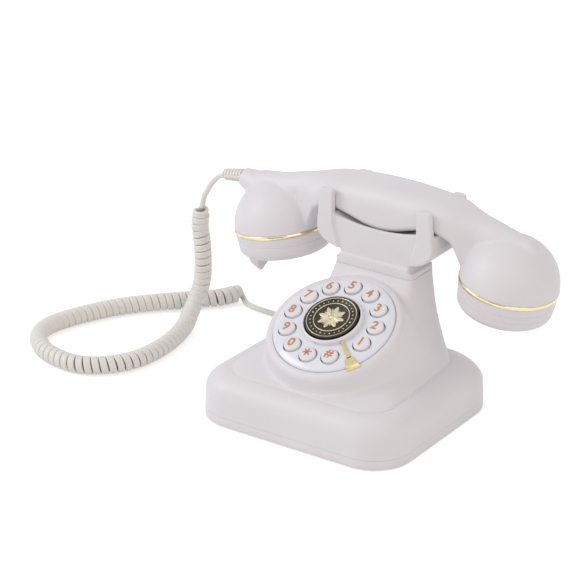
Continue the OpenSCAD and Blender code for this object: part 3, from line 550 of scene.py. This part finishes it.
# Handset
handset = {"crown": 122.9, "crownDrop": 11.6, "belly": 98.1, "bellyRise": 6.9, "bellyEnd": 34.2,
           "bellyDrop": 5, "bellyDropOver": 12.2, "halfWidth": 17.4, "slim": 9.6, "slimFrom": 38,
           "slimOver": 25, "thinFrom": 70, "thinBy": 0.16, "endThin": 3, "end": 98, "endRound": 9,
           "endSink": (4, 9), "endSlope": (0.1, 0.24), "neckAt": 46.5, "neckLow": 86,
           "neckCurve": [(1.0, 97.6), (1.8, 96.2), (2.6, 94), (3.4, 92), (4.4, 89.4), (5.2, 87)],
           "neckStations": (60, 68, 76, 84, 92), "endSteps": (8, 5, 3, 1.6, 0.6, 0),
           "lowRound": 4, "topRound": 10, "domeRadius": 28.8, "domeHeight": 28, "domeFoot": -5,
           "hornAt": (-106.2, 0, 103.4), "hornTurn": 106, "hornRadii": (5.3, 11.6),
           "hornLength": 20, "cutFrom": 30, "cutBelow": 97, "voxel": 0.85, "melt": 3}

def endDrop(x):
    into = max(0.0, abs(x) - handset["end"] + handset["endRound"]) / handset["endRound"]
    return 1 - math.sqrt(max(0.0, 1 - into * into))

def crown(x):
    reach, right = seats["cupX"], x > 0
    past = max(0.0, abs(x) - reach)
    return (handset["crown"] - handset["crownDrop"] * (min(abs(x), reach) / reach) ** 2
            - handset["endSlope"][right] * past - handset["endSink"][right] * endDrop(x))

def underside(x):
    end, top = handset["bellyEnd"], handset["belly"] + handset["bellyRise"]
    if abs(x) < end:
        return handset["belly"] + handset["bellyRise"] * (1 - math.cos(math.pi * x / end)) / 2
    return top - handset["bellyDrop"] * ((abs(x) - end) / handset["bellyDropOver"]) ** 2

def handleSection(x, low):
    slim = ease((abs(x) - handset["slimFrom"]) / handset["slimOver"])
    half = handset["halfWidth"] + (handset["slim"] - handset["halfWidth"]) * slim
    # the handle thins out over its cups
    half -= handset["thinBy"] * max(0.0, abs(x) - handset["thinFrom"]) \
        + handset["endThin"] * endDrop(x)
    top = crown(x)
    points = oblong(half, low, top, min(handset["lowRound"], half - 1),
                    min(half - 1, top - low - handset["lowRound"], handset["topRound"]))
    return [Vector((x, y, z)) for y, z in points]

def makeHandset():
    neckAt, neckLow = handset["neckAt"], handset["neckLow"]
    neck = [(neckAt + out, z) for out, z in handset["neckCurve"]]
    neck += [(x, neckLow) for x in handset["neckStations"]]
    neck += [(handset["end"] - step, neckLow) for step in handset["endSteps"]]
    middle = [i * neckAt / 24 for i in range(-24, 25)]
    handle = loft([handleSection(-x, z) for x, z in reversed(neck)]
                  + [handleSection(x, underside(x)) for x in middle]
                  + [handleSection(x, z) for x, z in neck])
    parts = [handle]
    r, height, foot = handset["domeRadius"], handset["domeHeight"], handset["domeFoot"]
    bell = [(0, foot), (r, foot)] + [(r * x, height * z) for x, z in arc(0, 0, 1, 0, 88, 44)]
    for side in (-1, 1):
        dome = turned(bell + [(0, height)], steps=120)
        seat(dome, cradleFrame.inverted() @ cupFrame(side))
        parts.append(dome)
    outer, inner = handset["hornRadii"]
    horn = rod(outer, 0, handset["hornLength"], radiusHigh=inner)
    turn(horn, math.radians(handset["hornTurn"]), "Y")
    shift(horn, handset["hornAt"])
    parts.append(horn)
    skin = remeshed(joined(*parts), handset["voxel"], handset["melt"])
    # trim each cup level with its gold ring
    for side in (-1, 1):
        tilt = cradleFrame.inverted() @ cupFrame(side)
        nearCup = lambda at: side * at.x > handset["cutFrom"] and at.z < handset["cutBelow"]
        near = [v for v in skin.verts if nearCup(v.co)]
        faces = [f for f in skin.faces if nearCup(f.calc_center_median())]
        edges = list({e for f in faces for e in f.edges})
        sliced(skin, near + edges + faces, tilt.translation, tilt.to_3x3() @ Vector((0, 0, 1)))
    bmesh.ops.recalc_face_normals(skin, faces=skin.faces)
    piece = newPiece("handsetSkin", skin, "handset", shellWhite, where=cradleFrame,
                     replaces=("handset_shell",))
    print("handset: %d faces" % len(piece.data.polygons))

makeHandset()


# Body
body = {"width": 135.0, "depth": 120.5, "corner": 24.5, "coverHeight": 5.5, "ledgeAt": 28.0,
        "ledgeIn": 12.6, "ledgeStep": 0.6, "shoulder": 11.6, "shoulderGap": 0.4, "batter": 0.4,
        "backTaper": 0.115, "columnWidth": 53.0, "columnDepth": 25.4, "columnFront": 27.8,
        "columnCorner": 4, "seamAt": 75.6, "sideFall": 22.0, "frontFall": 20.0,
        "bezelRadius": 39.7, "bezelDrop": 1.2, "bezelRound": 4.0, "housingAngle": 15.0,
        "housingDepth": 36.0, "voxel": 1.0, "smooth": 2, "melt": 14, "meltBelow": -7,
        "meltReach": 64, "seat": (36.0, -2.4, 8), "well": (33.5, -9.4, 0), "backWall": (52, 64),
        "openings": [(-30, 6.65, 9.65, 21.95), (24, 6.65, 9.65, 21.95), (0, 5, 11.75, 15.85)]}
shoulderAt = body["ledgeAt"] - body["shoulder"] - body["shoulderGap"]
columnBack = body["columnFront"] + body["columnDepth"]

def flare(z, fall):
    end = math.exp(-(body["seamAt"] - body["ledgeAt"]) / fall)
    return (math.exp(-(z - body["ledgeAt"]) / fall) - end) / (1 - end)

def bodySection(z):
    halfW, halfD = body["width"] / 2, body["depth"] / 2
    if z < body["ledgeAt"]:
        up = max(0.0, min(1.0, (z - shoulderAt) / body["shoulder"]))
        taper = body["backTaper"] * up ** 2
        if z <= shoulderAt:
            inset = body["batter"] * (z - body["coverHeight"]) / (shoulderAt - body["coverHeight"])
        else:
            deepest = body["ledgeIn"] - body["ledgeStep"]
            inset = deepest - (deepest - body["batter"]) * math.sqrt(1 - up * up)
        half, front, back = halfW - inset, inset - halfD, halfD - inset
        r = body["corner"] - inset / 2
    else:
        side, lean = flare(z, body["sideFall"]), flare(z, body["frontFall"])
        taper = body["backTaper"] * side
        mix = lambda a, b, t: a + (b - a) * t
        half = mix(body["columnWidth"] / 2, halfW - body["ledgeIn"], side)
        front = mix(body["columnFront"], body["ledgeIn"] - halfD, lean)
        back = mix(columnBack, halfD - body["ledgeIn"], side)
        r = mix(body["columnCorner"], body["corner"] - body["ledgeIn"] / 2, lean)
    # toward the back the shoulder's sides draw in
    return [Vector((x * (1 - taper * (y - front) / (back - front)), y, z))
            for x, y in oblong(half, front, back, r, r, steps=16)]

def trimmed(bm, level, keepAbove):
    everything = list(bm.verts) + list(bm.edges) + list(bm.faces)
    sliced(bm, everything, (0, 0, level), (0, 0, 1), keepAbove)

def makeBody():
    low, ledge, seam = body["coverHeight"], body["ledgeAt"], body["seamAt"]
    # the foot, with its rounded shoulder, keeps a crisp line under the flare
    levels = [low + 0.12 + (shoulderAt - low) * n / 4 for n in range(4)]
    levels += [shoulderAt + body["shoulder"] * math.sin(math.radians(a)) for a in range(0, 91, 5)]
    foot = loft([bodySection(z) for z in levels])
    levels = [ledge + (seam - ledge) * (n / 40) ** 1.5 for n in range(41)]
    raised = lambda z, by: [p + Vector((0, 0, by)) for p in bodySection(z)]
    column = loft([raised(ledge, -6)] + [bodySection(z) for z in levels] + [raised(seam, 3)])
    r, drop, lip = body["bezelRadius"], body["bezelDrop"], body["bezelRound"]
    deep, grow = body["housingDepth"], math.tan(math.radians(body["housingAngle"]))
    housing = turned([(0, -deep), (r + (deep - drop) * grow, -deep)]
                     + arc(r + lip * grow - lip, -drop - lip, lip, 0, 90, 10) + [(0, -drop)],
                     steps=144)
    toDesk = deskFrame.inverted() @ dialFrame
    seat(housing, toDesk)
    trimmed(housing, ledge - 4, True)
    skin = remeshed(joined(column, housing), body["voxel"], body["smooth"])
    # melt the housing into the flare, and leave its lip crisp
    toDial = toDesk.inverted()
    behindLip = lambda at: at.z < body["meltBelow"] and at.xy.length < body["meltReach"]
    melting = [v for v in skin.verts
               if ledge + 1 < v.co.z < seam - 3 and behindLip(toDial @ v.co)]
    for n in range(body["melt"]):
        bmesh.ops.smooth_vert(skin, verts=melting, factor=0.5, use_axis_x=True,
                              use_axis_y=True, use_axis_z=True)
    trimmed(skin, ledge - 0.5, True)
    trimmed(skin, seam - 0.12, False)
    # the dial's seat and its well
    cutters = rod(*body["seat"], steps=160), rod(*body["well"], steps=120)
    for cutter in cutters:
        seat(cutter, toDesk)
    skin = carved(skin, *cutters)
    # the sockets and the slot at the back
    near, far = body["backWall"]
    foot = carved(foot, *(block((x - half, near, bottom), (x + half, far, top))
                          for x, half, bottom, top in body["openings"]))
    piece = newPiece("bodySkin", joined(skin, foot), "base", shellWhite, where=deskFrame,
                     replaces=("base_shell",))
    sharpen(piece, 38)
    print("body: %d faces" % len(piece.data.polygons))

makeBody()


# Cradle
cradle = {"front": 28.0, "rear": 72.0, "prong": 4.2, "tip": 118.7, "backTip": 116.9, "out": 37.0,
          "bulge": 2.2, "windowHalf": 28.4, "windowDip": 3.6, "windowWall": 1.7, "saddle": 103.8,
          "troughAt": 96.5, "bracketAt": 84.2, "bracket": 11.2, "rearRise": 1.6,
          "backSwell": 15.5, "backIn": 0.8, "flangeTop": 79.0, "neck": 23.4, "collarRound": 3.2,
          "notchAt": 10, "notchHalf": 10.5, "through": (20, 80), "above": 126,
          "prongLevels": (104, 111), "tipCut": (45, 60, 130),
          "plungerHole": ((-6.25, 45.75, 91.5), (6.25, 54.25, 104)), "voxel": 0.55, "smooth": 4}

def swell(z, top, height):
    if z >= top or z <= top - height:
        return float(z >= top)
    return math.sqrt(1 - ((top - z) / height) ** 2)

def cradleSection(z):
    top = cradle["bracketAt"] + cradle["bracket"]
    side = swell(z, top, cradle["bracket"])
    rear = swell(z, top + cradle["rearRise"], cradle["backSwell"])
    lean = max(0.0, (z - top) / (cradle["tip"] - top))
    half = cradle["neck"] + (cradle["out"] + cradle["bulge"] - cradle["neck"]) * side
    half += (cradle["out"] - half) * lean
    back = columnBack - cradle["backIn"]
    back += (cradle["rear"] - back) * rear
    return [Vector((x, y, z)) for x, y in oblong(half, cradle["front"], back, 1.2, 3 + 2 * rear)]

def extruded(outline, y0, y1):
    return loft([[Vector((x, y, z)) for x, z in outline] for y in (y0, y1)])

def dish(half, dip, low, y0, y1, steps=24):
    r = (half * half + dip * dip) / (2 * dip)
    floor = [(half * (2 * n / steps - 1)) for n in range(steps + 1)]
    rim = [(half, cradle["above"]), (-half, cradle["above"])]
    return extruded([(x, low + r - math.sqrt(r * r - x * x)) for x in floor] + rim, y0, y1)

def makeCradle():
    c, seam, above = cradle, body["seamAt"], cradle["above"]
    collar = [Vector((x, y, 0)) for x, y in oblong(
        body["columnWidth"] / 2 - 0.2, body["columnFront"] + 0.1, columnBack - 0.2,
        c["collarRound"], c["collarRound"])]
    rearTop = c["bracketAt"] + c["bracket"] + c["rearRise"]
    levels = [c["flangeTop"]] + [rearTop - c["backSwell"] * math.cos(math.radians(a))
                                 for a in range(0, 91, 6)]
    levels += [*c["prongLevels"], c["tip"]]
    whole = joined(loft([[p + Vector((0, 0, z)) for p in collar]
                         for z in (seam - 1, c["flangeTop"] - 0.2)]),
                   loft([cradleSection(z) for z in levels]))
    whole = remeshed(whole, c["voxel"])
    # cut out what lies between the prongs
    near, far = c["front"] + c["prong"], c["rear"] - c["prong"]
    before, behind = c["through"]
    half, dip, trough = c["windowHalf"], c["windowDip"], c["troughAt"]
    cutters = []
    for side in (-1, 1):
        middle = side * (half + c["notchAt"])
        cutters.append(block((middle - c["notchHalf"], near, c["saddle"]),
                             (middle + c["notchHalf"], far, above)))
    cutters.append(dish(half + 0.5, c["saddle"] - trough, trough, near, far))
    cutters.append(dish(half, dip, c["saddle"] - dip, before, behind))
    window = [(-23.6, 81), (23.6, 81), (25.6, 90), (half, 98), (half, above), (-half, above),
              (-half, 98), (-25.6, 90)]
    cutters.append(extruded(window, before, c["front"] + c["windowWall"]))
    cutters.append(extruded(window, c["rear"] - c["windowWall"], behind))
    cutters.append(block(*c["plungerHole"]))
    # the back prongs end lower than the front ones
    wide, tipsFrom, high = c["tipCut"]
    cutters.append(block((-wide, tipsFrom, c["backTip"]), (wide, behind, high)))
    skin = remeshed(whole, c["voxel"], c["smooth"], cutters)
    trimmed(skin, seam + 0.02, True)
    piece = newPiece("cradleSkin", skin, "base", shellWhite, where=deskFrame, replaces=("cradle",))
    print("cradle: %d faces" % len(piece.data.polygons))

makeCradle()


# Cups
cups = {"radius": 28.85, "taper": 0.11, "ear": 18.8, "mouth": 16.7, "round": 5.6, "wall": 2.0,
        "top": -2.2, "grooves": (7.4, 11.6),
        "grooveShape": ((-0.25, 0), (-0.1, 0.22), (0.1, 0.22), (0.3, 0)),
        "recess": [(14.6, 0), (14.0, 0.15), (11.6, 1.1), (11, 1.2), (0, 1.2)], "floor": 3.2,
        "earHoles": [(0, 1), (3.4, 6), (6.8, 12)], "earHole": 1.8, "mouthHoles": [(3.4, 6)],
        "mouthHole": 1.6, "lipTip": (-21.2, -31.6), "lipRound": 0.9, "lipLean": 2.2,
        "lipSide": [(4.6, -28.6), (8.0, -25), (8.6, -21), (7.8, -14), (0, -14)],
        "leanOver": 6.6, "scoopOut": 5.4, "scoopRadius": 5.2,
        "scoopSide": [(8.4, -25), (9.0, -18), (0, -18)],
        "core": (26.6, 21.2), "ringRadius": 29.2, "ringIn": 2.4, "ringLow": -2.15,
        "ringHigh": -0.05, "ringBulge": 2.6}

def capProfile(depth):
    r, bend, top = cups["radius"], cups["round"], cups["top"]
    wallAt = lambda d: r - cups["taper"] * (d + top)
    outer = [(r - 2, top), (r - 0.25, top), (r, top - 0.25)]
    for groove in cups["grooves"]:
        outer += [(wallAt(groove) - sink, -groove - step) for step, sink in cups["grooveShape"]]
    corner = wallAt(depth - bend) - bend
    outer += flipped(arc(corner, depth - bend, bend, 2, 88, 18))
    outer += [(x, -depth + up) for x, up in cups["recess"]]
    inner = [(0, -depth + cups["floor"])]
    inner += flipped(arc(corner, depth - bend, bend - cups["wall"], 88, 2, 10))
    return outer + inner + [(r - 2, top)]

def pierced(bm, rings, width, depth):
    pins = []
    for radius, count in rings:
        for n in range(count):
            pins.append(rod(width / 2, -depth - 1, -depth + 5, steps=16))
            shift(pins[-1], around(radius, math.tau * n / count))
    return carved(bm, joined(*pins))

def makeCap(name, cap, side, node):
    piece = newPiece(name, cap, "handset", shellWhite, where=cupFrame(side), replaces=(node,))
    sharpen(piece, 34)

def makeCups():
    ear = turned(capProfile(cups["ear"]), 128)
    makeCap("earpieceCap", pierced(ear, cups["earHoles"], cups["earHole"], cups["ear"]), 1,
            "earpiece_cap")
    # the lip under the mouth, hollow toward the face
    (tipX, tipZ), bend = cups["lipTip"], cups["lipRound"]
    lip = turned([(0, tipZ)] + arc(bend, tipZ + bend, bend, -80, -40, 3) + cups["lipSide"])
    scoop = turned([(0, tipZ - 1), (cups["scoopRadius"], tipZ - 1)] + cups["scoopSide"])
    for part, out in ((lip, 0), (scoop, cups["scoopOut"])):
        shift(part, (tipX + out, 0, 0))
        for vert in part.verts:
            vert.co.x += cups["lipLean"] * min(1, (vert.co.z - tipZ) / cups["leanOver"])
    depth, bend = cups["mouth"], cups["round"]
    wide, corner = cups["core"]
    core = turned([(0, 1), (wide, 1)] + flipped(arc(corner, depth - bend, bend - 1, 2, 88, 12))
                  + [(0, 1 - depth)])
    lip = carved(carved(lip, scoop), core)
    mouth = pierced(turned(capProfile(depth), 128), cups["mouthHoles"], cups["mouthHole"], depth)
    makeCap("mouthpieceCap", baked(mouth, [], [lip], operation="UNION"), -1, "mouthpiece_cap")
    r, low, high = cups["ringRadius"], cups["ringLow"], cups["ringHigh"]
    inner, bulge = r - cups["ringIn"], cups["ringBulge"]
    band = [(inner, low), (r - 0.35, low)] + arc(r - bulge, -1.2, bulge, -20, 24, 10) \
        + [(r - 0.4, high), (inner, high), (inner, low)]
    for side, name in ((-1, "mouthpiece_ring"), (1, "earpiece_ring")):
        newPiece(name.replace("_ring", "Ring"), turned(band, 160), "handset", paleGold,
                 where=cupFrame(side), replaces=(name,))
    print("cups: caps, lip and gold rings")

makeCups()


# Dial
dial = {"radius": 35.7, "thick": 2.4, "dome": 1.5, "domeFrom": 30, "edgeRound": 1.4, "hub": 18.6,
        "hubHeight": 4.6, "hubRound": 1.7, "well": 16.5, "pinhole": (0.55, 17.4, 22),
        "pinholeAt": (-0.7, 0, 2.5), "keyRing": 26.7, "keyRadius": 4.85, "keyGap": 0.72,
        "keyRise": 3.2, "keyFlange": 0.8, "keyRound": 0.75, "firstKey": -20.8, "keyPitch": 28.9,
        "digit": 7.9, "digitAt": (-0.6, 0.8), "digitBold": 0.21, "ink": 0.035,
        "starBar": (2.7, 0.5), "starLean": 8}

def keyPlace(n):
    angle = math.radians(dial["firstKey"] + n * dial["keyPitch"])
    return Matrix.Translation(around(dial["keyRing"], angle))

def makePlate():
    r, inner, thick, dome = dial["radius"], dial["hub"] - 1.6, dial["thick"], dial["dome"]
    bend = dial["edgeRound"]
    top = [(r, -thick), (r, -1.0)] + arc(r - bend, -1.0, bend, 8, 62, 7)
    edgeR, edgeZ = top[-1]
    top += [(edgeR - (edgeR - dial["domeFrom"]) * n / 8,
             edgeZ + (dome - edgeZ) * math.sin(math.pi / 2 * n / 8)) for n in range(1, 9)]
    plate = turned([(inner, -thick)] + top + [(inner, dome), (inner, -thick)], 180)
    holes = []
    for n in range(len(keyNames)):
        holes.append(rod(dial["keyRadius"] + dial["keyGap"], -6, 4, steps=64))
        seat(holes[-1], keyPlace(n))
    plate = carved(plate, joined(*holes))
    sharpen(newPiece("dialPlate", plate, "base", dialWhite, where=dialFrame,
                     replaces=("dial_plate",)), 32)
    r, top, well, bend = dial["hub"], dial["hubHeight"], dial["well"], dial["hubRound"]
    ring = [(well, 0), (r, 0), (r, 0.5), (r - 0.25, 0.75), (r - 0.35, top - 2.0)]
    ring += arc(r - 0.35 - bend, top - bend, bend, 8, 84, 8)
    ring += [(well + 0.3, top), (well, top - 0.3), (well, 0)]
    pinhole = rod(*dial["pinhole"], steps=16)
    turn(pinhole, math.radians(90), "X")
    shift(pinhole, dial["pinholeAt"])
    hub = carved(turned(ring, 144), pinhole)
    sharpen(newPiece("dialHub", hub, "base", hubWhite, where=dialFrame, replaces=("dial_hub",)),
            34)

def star():
    (x, y), bars = dial["starBar"], []
    for angle in (90, 30, 150):
        bars.append(block((-x, -y, 0), (x, y, 2 * dial["ink"])))
        turn(bars[-1], math.radians(angle - dial["starLean"]), "Z")
    return joined(*bars)

def glyph(sign):
    curve = bpy.data.curves.new("digit", "FONT")
    curve.body = sign
    curve.size = dial["digit"]
    curve.offset = dial["digitBold"]
    curve.extrude = dial["ink"]
    curve.resolution_u = 6
    holder = bpy.data.objects.new("digit", curve)
    bpy.context.scene.collection.objects.link(holder)
    bm = bmesh.new()
    bm.from_mesh(holder.evaluated_get(bpy.context.evaluated_depsgraph_get()).to_mesh())
    bpy.data.objects.remove(holder)
    bmesh.ops.remove_doubles(bm, verts=bm.verts, dist=0.001)
    xs, ys = [v.co.x for v in bm.verts], [v.co.y for v in bm.verts]
    shift(bm, (-(min(xs) + max(xs)) / 2, -(min(ys) + max(ys)) / 2, dial["ink"]))
    return bm

def makeKeys():
    r, rise, bend = dial["keyRadius"], dial["keyRise"], dial["keyRound"]
    skirt = r + dial["keyFlange"]
    profile = [(0, -4.6), (2.2, -4.6), (2.2, -4.0), (skirt, -4.0), (skirt, -2.7), (r, -2.7),
               (r, rise - 1.2)]
    profile += arc(r - bend, rise - 0.2 - bend, bend, 4, 84, 7)
    profile += [(r - 1.6, rise - 0.13), (2, rise - 0.1), (0, rise - 0.1)]
    for n, name in enumerate(keyNames):
        where = dialFrame @ keyPlace(n)
        newPiece(name.replace("_", "Cap"), turned(profile, 72), name + "_body", keyWhite,
                 where=where, replaces=(name,))
        sign = "#" if name == "key_hash" else name[-1]
        mark = star() if name == "key_star" else glyph(sign)
        shift(mark, (*dial["digitAt"], rise - 0.11))
        newPiece(name.replace("_", "Digit"), mark, name + "_body", copperInk, where=where,
                 smooth=False)

medallion = {"radius": 15.8, "top": 5.8, "sunk": 0.45, "edgeRound": 0.5,
             "rings": ((14.55, 0.3), (10.5, 0.3), (2.4, 0.22)), "petals": 8,
             "longPetal": (7.3, 1.7, 0.9), "shortPetal": (5.6, 0.7, 0.5), "petalFrom": 0.9,
             "beads": 28, "beadRing": 12.5, "bead": 0.42, "bigBead": 0.62, "bigEvery": 7,
             "boss": 1.3, "flat": 0.55, "section": (
                 (1, 0), (0.6, 0.6), (0.15, 0.8), (0, 0.62), (-0.15, 0.8), (-0.6, 0.6), (-1, 0),
                 (0, -0.3))}

def petal(reach, width, thick, angle, steps=14):
    rings = []
    for n in range(steps + 1):
        t = n / steps
        half = width * math.sin(math.pi * (0.07 + 0.88 * t) ** 1.35)
        rings.append([Vector((medallion["petalFrom"] + reach * t, half * x,
                              thick * y * (1 - 0.4 * t))) for x, y in medallion["section"]])
    bm = loft(rings)
    turn(bm, angle, "Z")
    return bm

def makeMedallion():
    m = medallion
    r, top, bend = m["radius"], m["top"], m["edgeRound"]
    field = top - m["sunk"]
    disc = turned([(0, top - 1.4), (r - 0.2, top - 1.4), (r, top - 1.2)]
                  + arc(r - bend, top - 0.12 - bend, bend, 0, 90, 6)
                  + [(r - 1.0, top - 0.12), (r - 1.3, field), (0, field)], 144)
    newPiece("medallionDisc", disc, "redial_button", agedBronze, where=dialFrame,
             replaces=("medallion",))
    rings = []
    for radius, half in m["rings"]:
        inner, outer = (radius - half, field - 0.1), (radius + half, field - 0.1)
        rings.append(turned([inner] + arc(radius, field + 0.02, half, 165, 15, 8)
                            + [outer, inner], 120))
    raised = []
    for n in range(m["petals"]):
        raised.append(petal(*m["longPetal"], math.tau * n / m["petals"]))
        raised.append(petal(*m["shortPetal"], math.tau * (n + 0.5) / m["petals"]))
    for n in range(m["beads"]):
        raised.append(ball(m["bead"] if n % m["bigEvery"] else m["bigBead"], 14, 8))
        shift(raised[-1], around(m["beadRing"], math.tau * n / m["beads"]))
    raised.append(ball(m["boss"], 24, 12))
    for part in raised:
        for vert in part.verts:
            vert.co.z = max(vert.co.z, -0.05) * m["flat"] + field
    newPiece("medallionRelief", joined(*rings, *raised), "redial_button", bronzeRelief,
             where=dialFrame)

# a station along the finger stop is a distance, a height, a half width and a thickness
fingerStop = {"edge": 0.22, "crest": 0.04, "bar": (
    (19.1, 3.5, 0.75, 2.4), (19.5, 3.4, 0.85, 2.2), (22, 3.1, 0.95, 1.9), (26, 2.85, 1.1, 1.7),
    (30.6, 2.5, 1.35, 1.5), (31.2, 2.35, 1.4, 1.4)), "wedge": (
    (31.5, 1.9, 2.3, 1.2), (31.8, 2.15, 2.5, 1.5), (35.4, 1.5, 3.3, 2.0), (36.4, 1.0, 3.6, 2.2),
    (37.4, 0.2, 4.0, 1.6), (37.9, -0.75, 4.2, 0.8))}

def strip(stations):
    rings, b = [], fingerStop["edge"]
    for at, z, half, thick in stations:
        rings.append([Vector((at, y, z + t)) for y, t in (
            (half, -thick), (half, -b), (half - b, 0), (0, fingerStop["crest"]), (-half + b, 0),
            (-half, -b), (-half, -thick))])
    return loft(rings)

def makeFingerStop():
    # halfway between the last key and the first
    angle = dial["firstKey"] - (360 - 11 * dial["keyPitch"]) / 2
    where = dialFrame @ Matrix.Rotation(math.radians(angle), 4, "Z")
    stop = joined(strip(fingerStop["bar"]), strip(fingerStop["wedge"]))
    piece = newPiece("fingerStop", stop, "base", brushedGold, where=where,
                     replaces=("finger_stop",))
    sharpen(piece, 30)

makePlate()
makeKeys()
makeMedallion()
makeFingerStop()
print("dial: plate, hub, twelve keys with digits, medallion and finger stop")


# Strain relief
relief = {"at": (-106, 50, 103.3), "lean": 8, "length": 13.4, "ribs": 6, "start": 4.15,
          "end": 3.45, "groove": 0.75, "ribShape": (
              (0, 0.25), (0.06, 0), (0.5, 0), (0.58, 0.3), (0.62, 1), (0.92, 1), (0.97, 0.4)),
          "tip": (2.3, 2.1), "spine": 0.7, "spineIn": (0.2, 0.15), "spineFrom": 0.8,
          "spineShort": 0.9}

def makeRelief():
    start, end, length = relief["start"], relief["end"], relief["length"]
    profile = [(0, 0)]
    for n in range(relief["ribs"]):
        for share, sink in relief["ribShape"]:
            at = (n + share) / relief["ribs"]
            profile.append((start + (end - start) * at - relief["groove"] * sink, at * length))
    wide, narrow = relief["tip"]
    profile += [(wide, length - 0.1), (narrow, length), (0, length)]
    where = place(*relief["at"]) @ Matrix.Rotation(math.radians(-90 - relief["lean"]), 4, "Y")
    half, (startIn, endIn) = relief["spine"], relief["spineIn"]
    corners = (half, 1), (-half, 1), (-half, -1), (half, -1)
    spine = loft([[Vector((x, y * r, z)) for x, y in corners]
                  for r, z in ((start - startIn, relief["spineFrom"]),
                               (end - endIn, length - relief["spineShort"]))])
    piece = newPiece("strainRelief", joined(turned(profile, 48), spine), "handset", cordIvory,
                     where=where, replaces=("strain_relief",))
    sharpen(piece, 34)
    return piece


# Plain pieces: soft-edged copies of their solids
soft = {"weld": 0.01, "flat": 2, "sharp": 35, "segments": 2, "crease": 30, "pieces": (
    ("bottom_cover", "base", shellWhite, 0.35), ("rubber_feet", "base", blackRubber, 0.25),
    ("base_screws", "base", zincSteel, 0.12), ("line_jack", "base", jackGrey, 0.2),
    ("handset_jack", "base", jackGrey, 0.2), ("ringer_knob", "ringer_slider", keyWhite, 0.3),
    ("hook_plunger", "hook", shellWhite, 0.3), ("handset_liner", "handset", shellWhite, 0.25),
    ("handset_screws", "handset", zincSteel, 0.1), ("cord_plug", "base", clearPlug, 0.3))}

def softened(node, owner, material, width):
    bm = bmesh.new()
    bm.from_mesh(frame["nodes"][node].data)
    bmesh.ops.scale(bm, vec=(1 / mm, 1 / mm, 1 / mm), verts=bm.verts)
    bmesh.ops.remove_doubles(bm, verts=bm.verts, dist=soft["weld"])
    bmesh.ops.dissolve_limit(bm, angle_limit=math.radians(soft["flat"]), verts=bm.verts,
                             edges=bm.edges)
    sharp = [e for e in bm.edges
             if len(e.link_faces) == 2 and e.calc_face_angle(0) > math.radians(soft["sharp"])]
    bmesh.ops.bevel(bm, geom=sharp, offset=width, affect="EDGES", segments=soft["segments"],
                    profile=0.5, material=-1, clamp_overlap=True)
    name = "".join(part.capitalize() for part in node.split("_"))
    piece = newPiece("soft" + name, bm, owner, material, replaces=(node,))
    sharpen(piece, soft["crease"])
    return piece

plain = {node: softened(node, *rest) for node, *rest in soft["pieces"]}
print("plain pieces have soft edges")
makeCord(makeRelief())
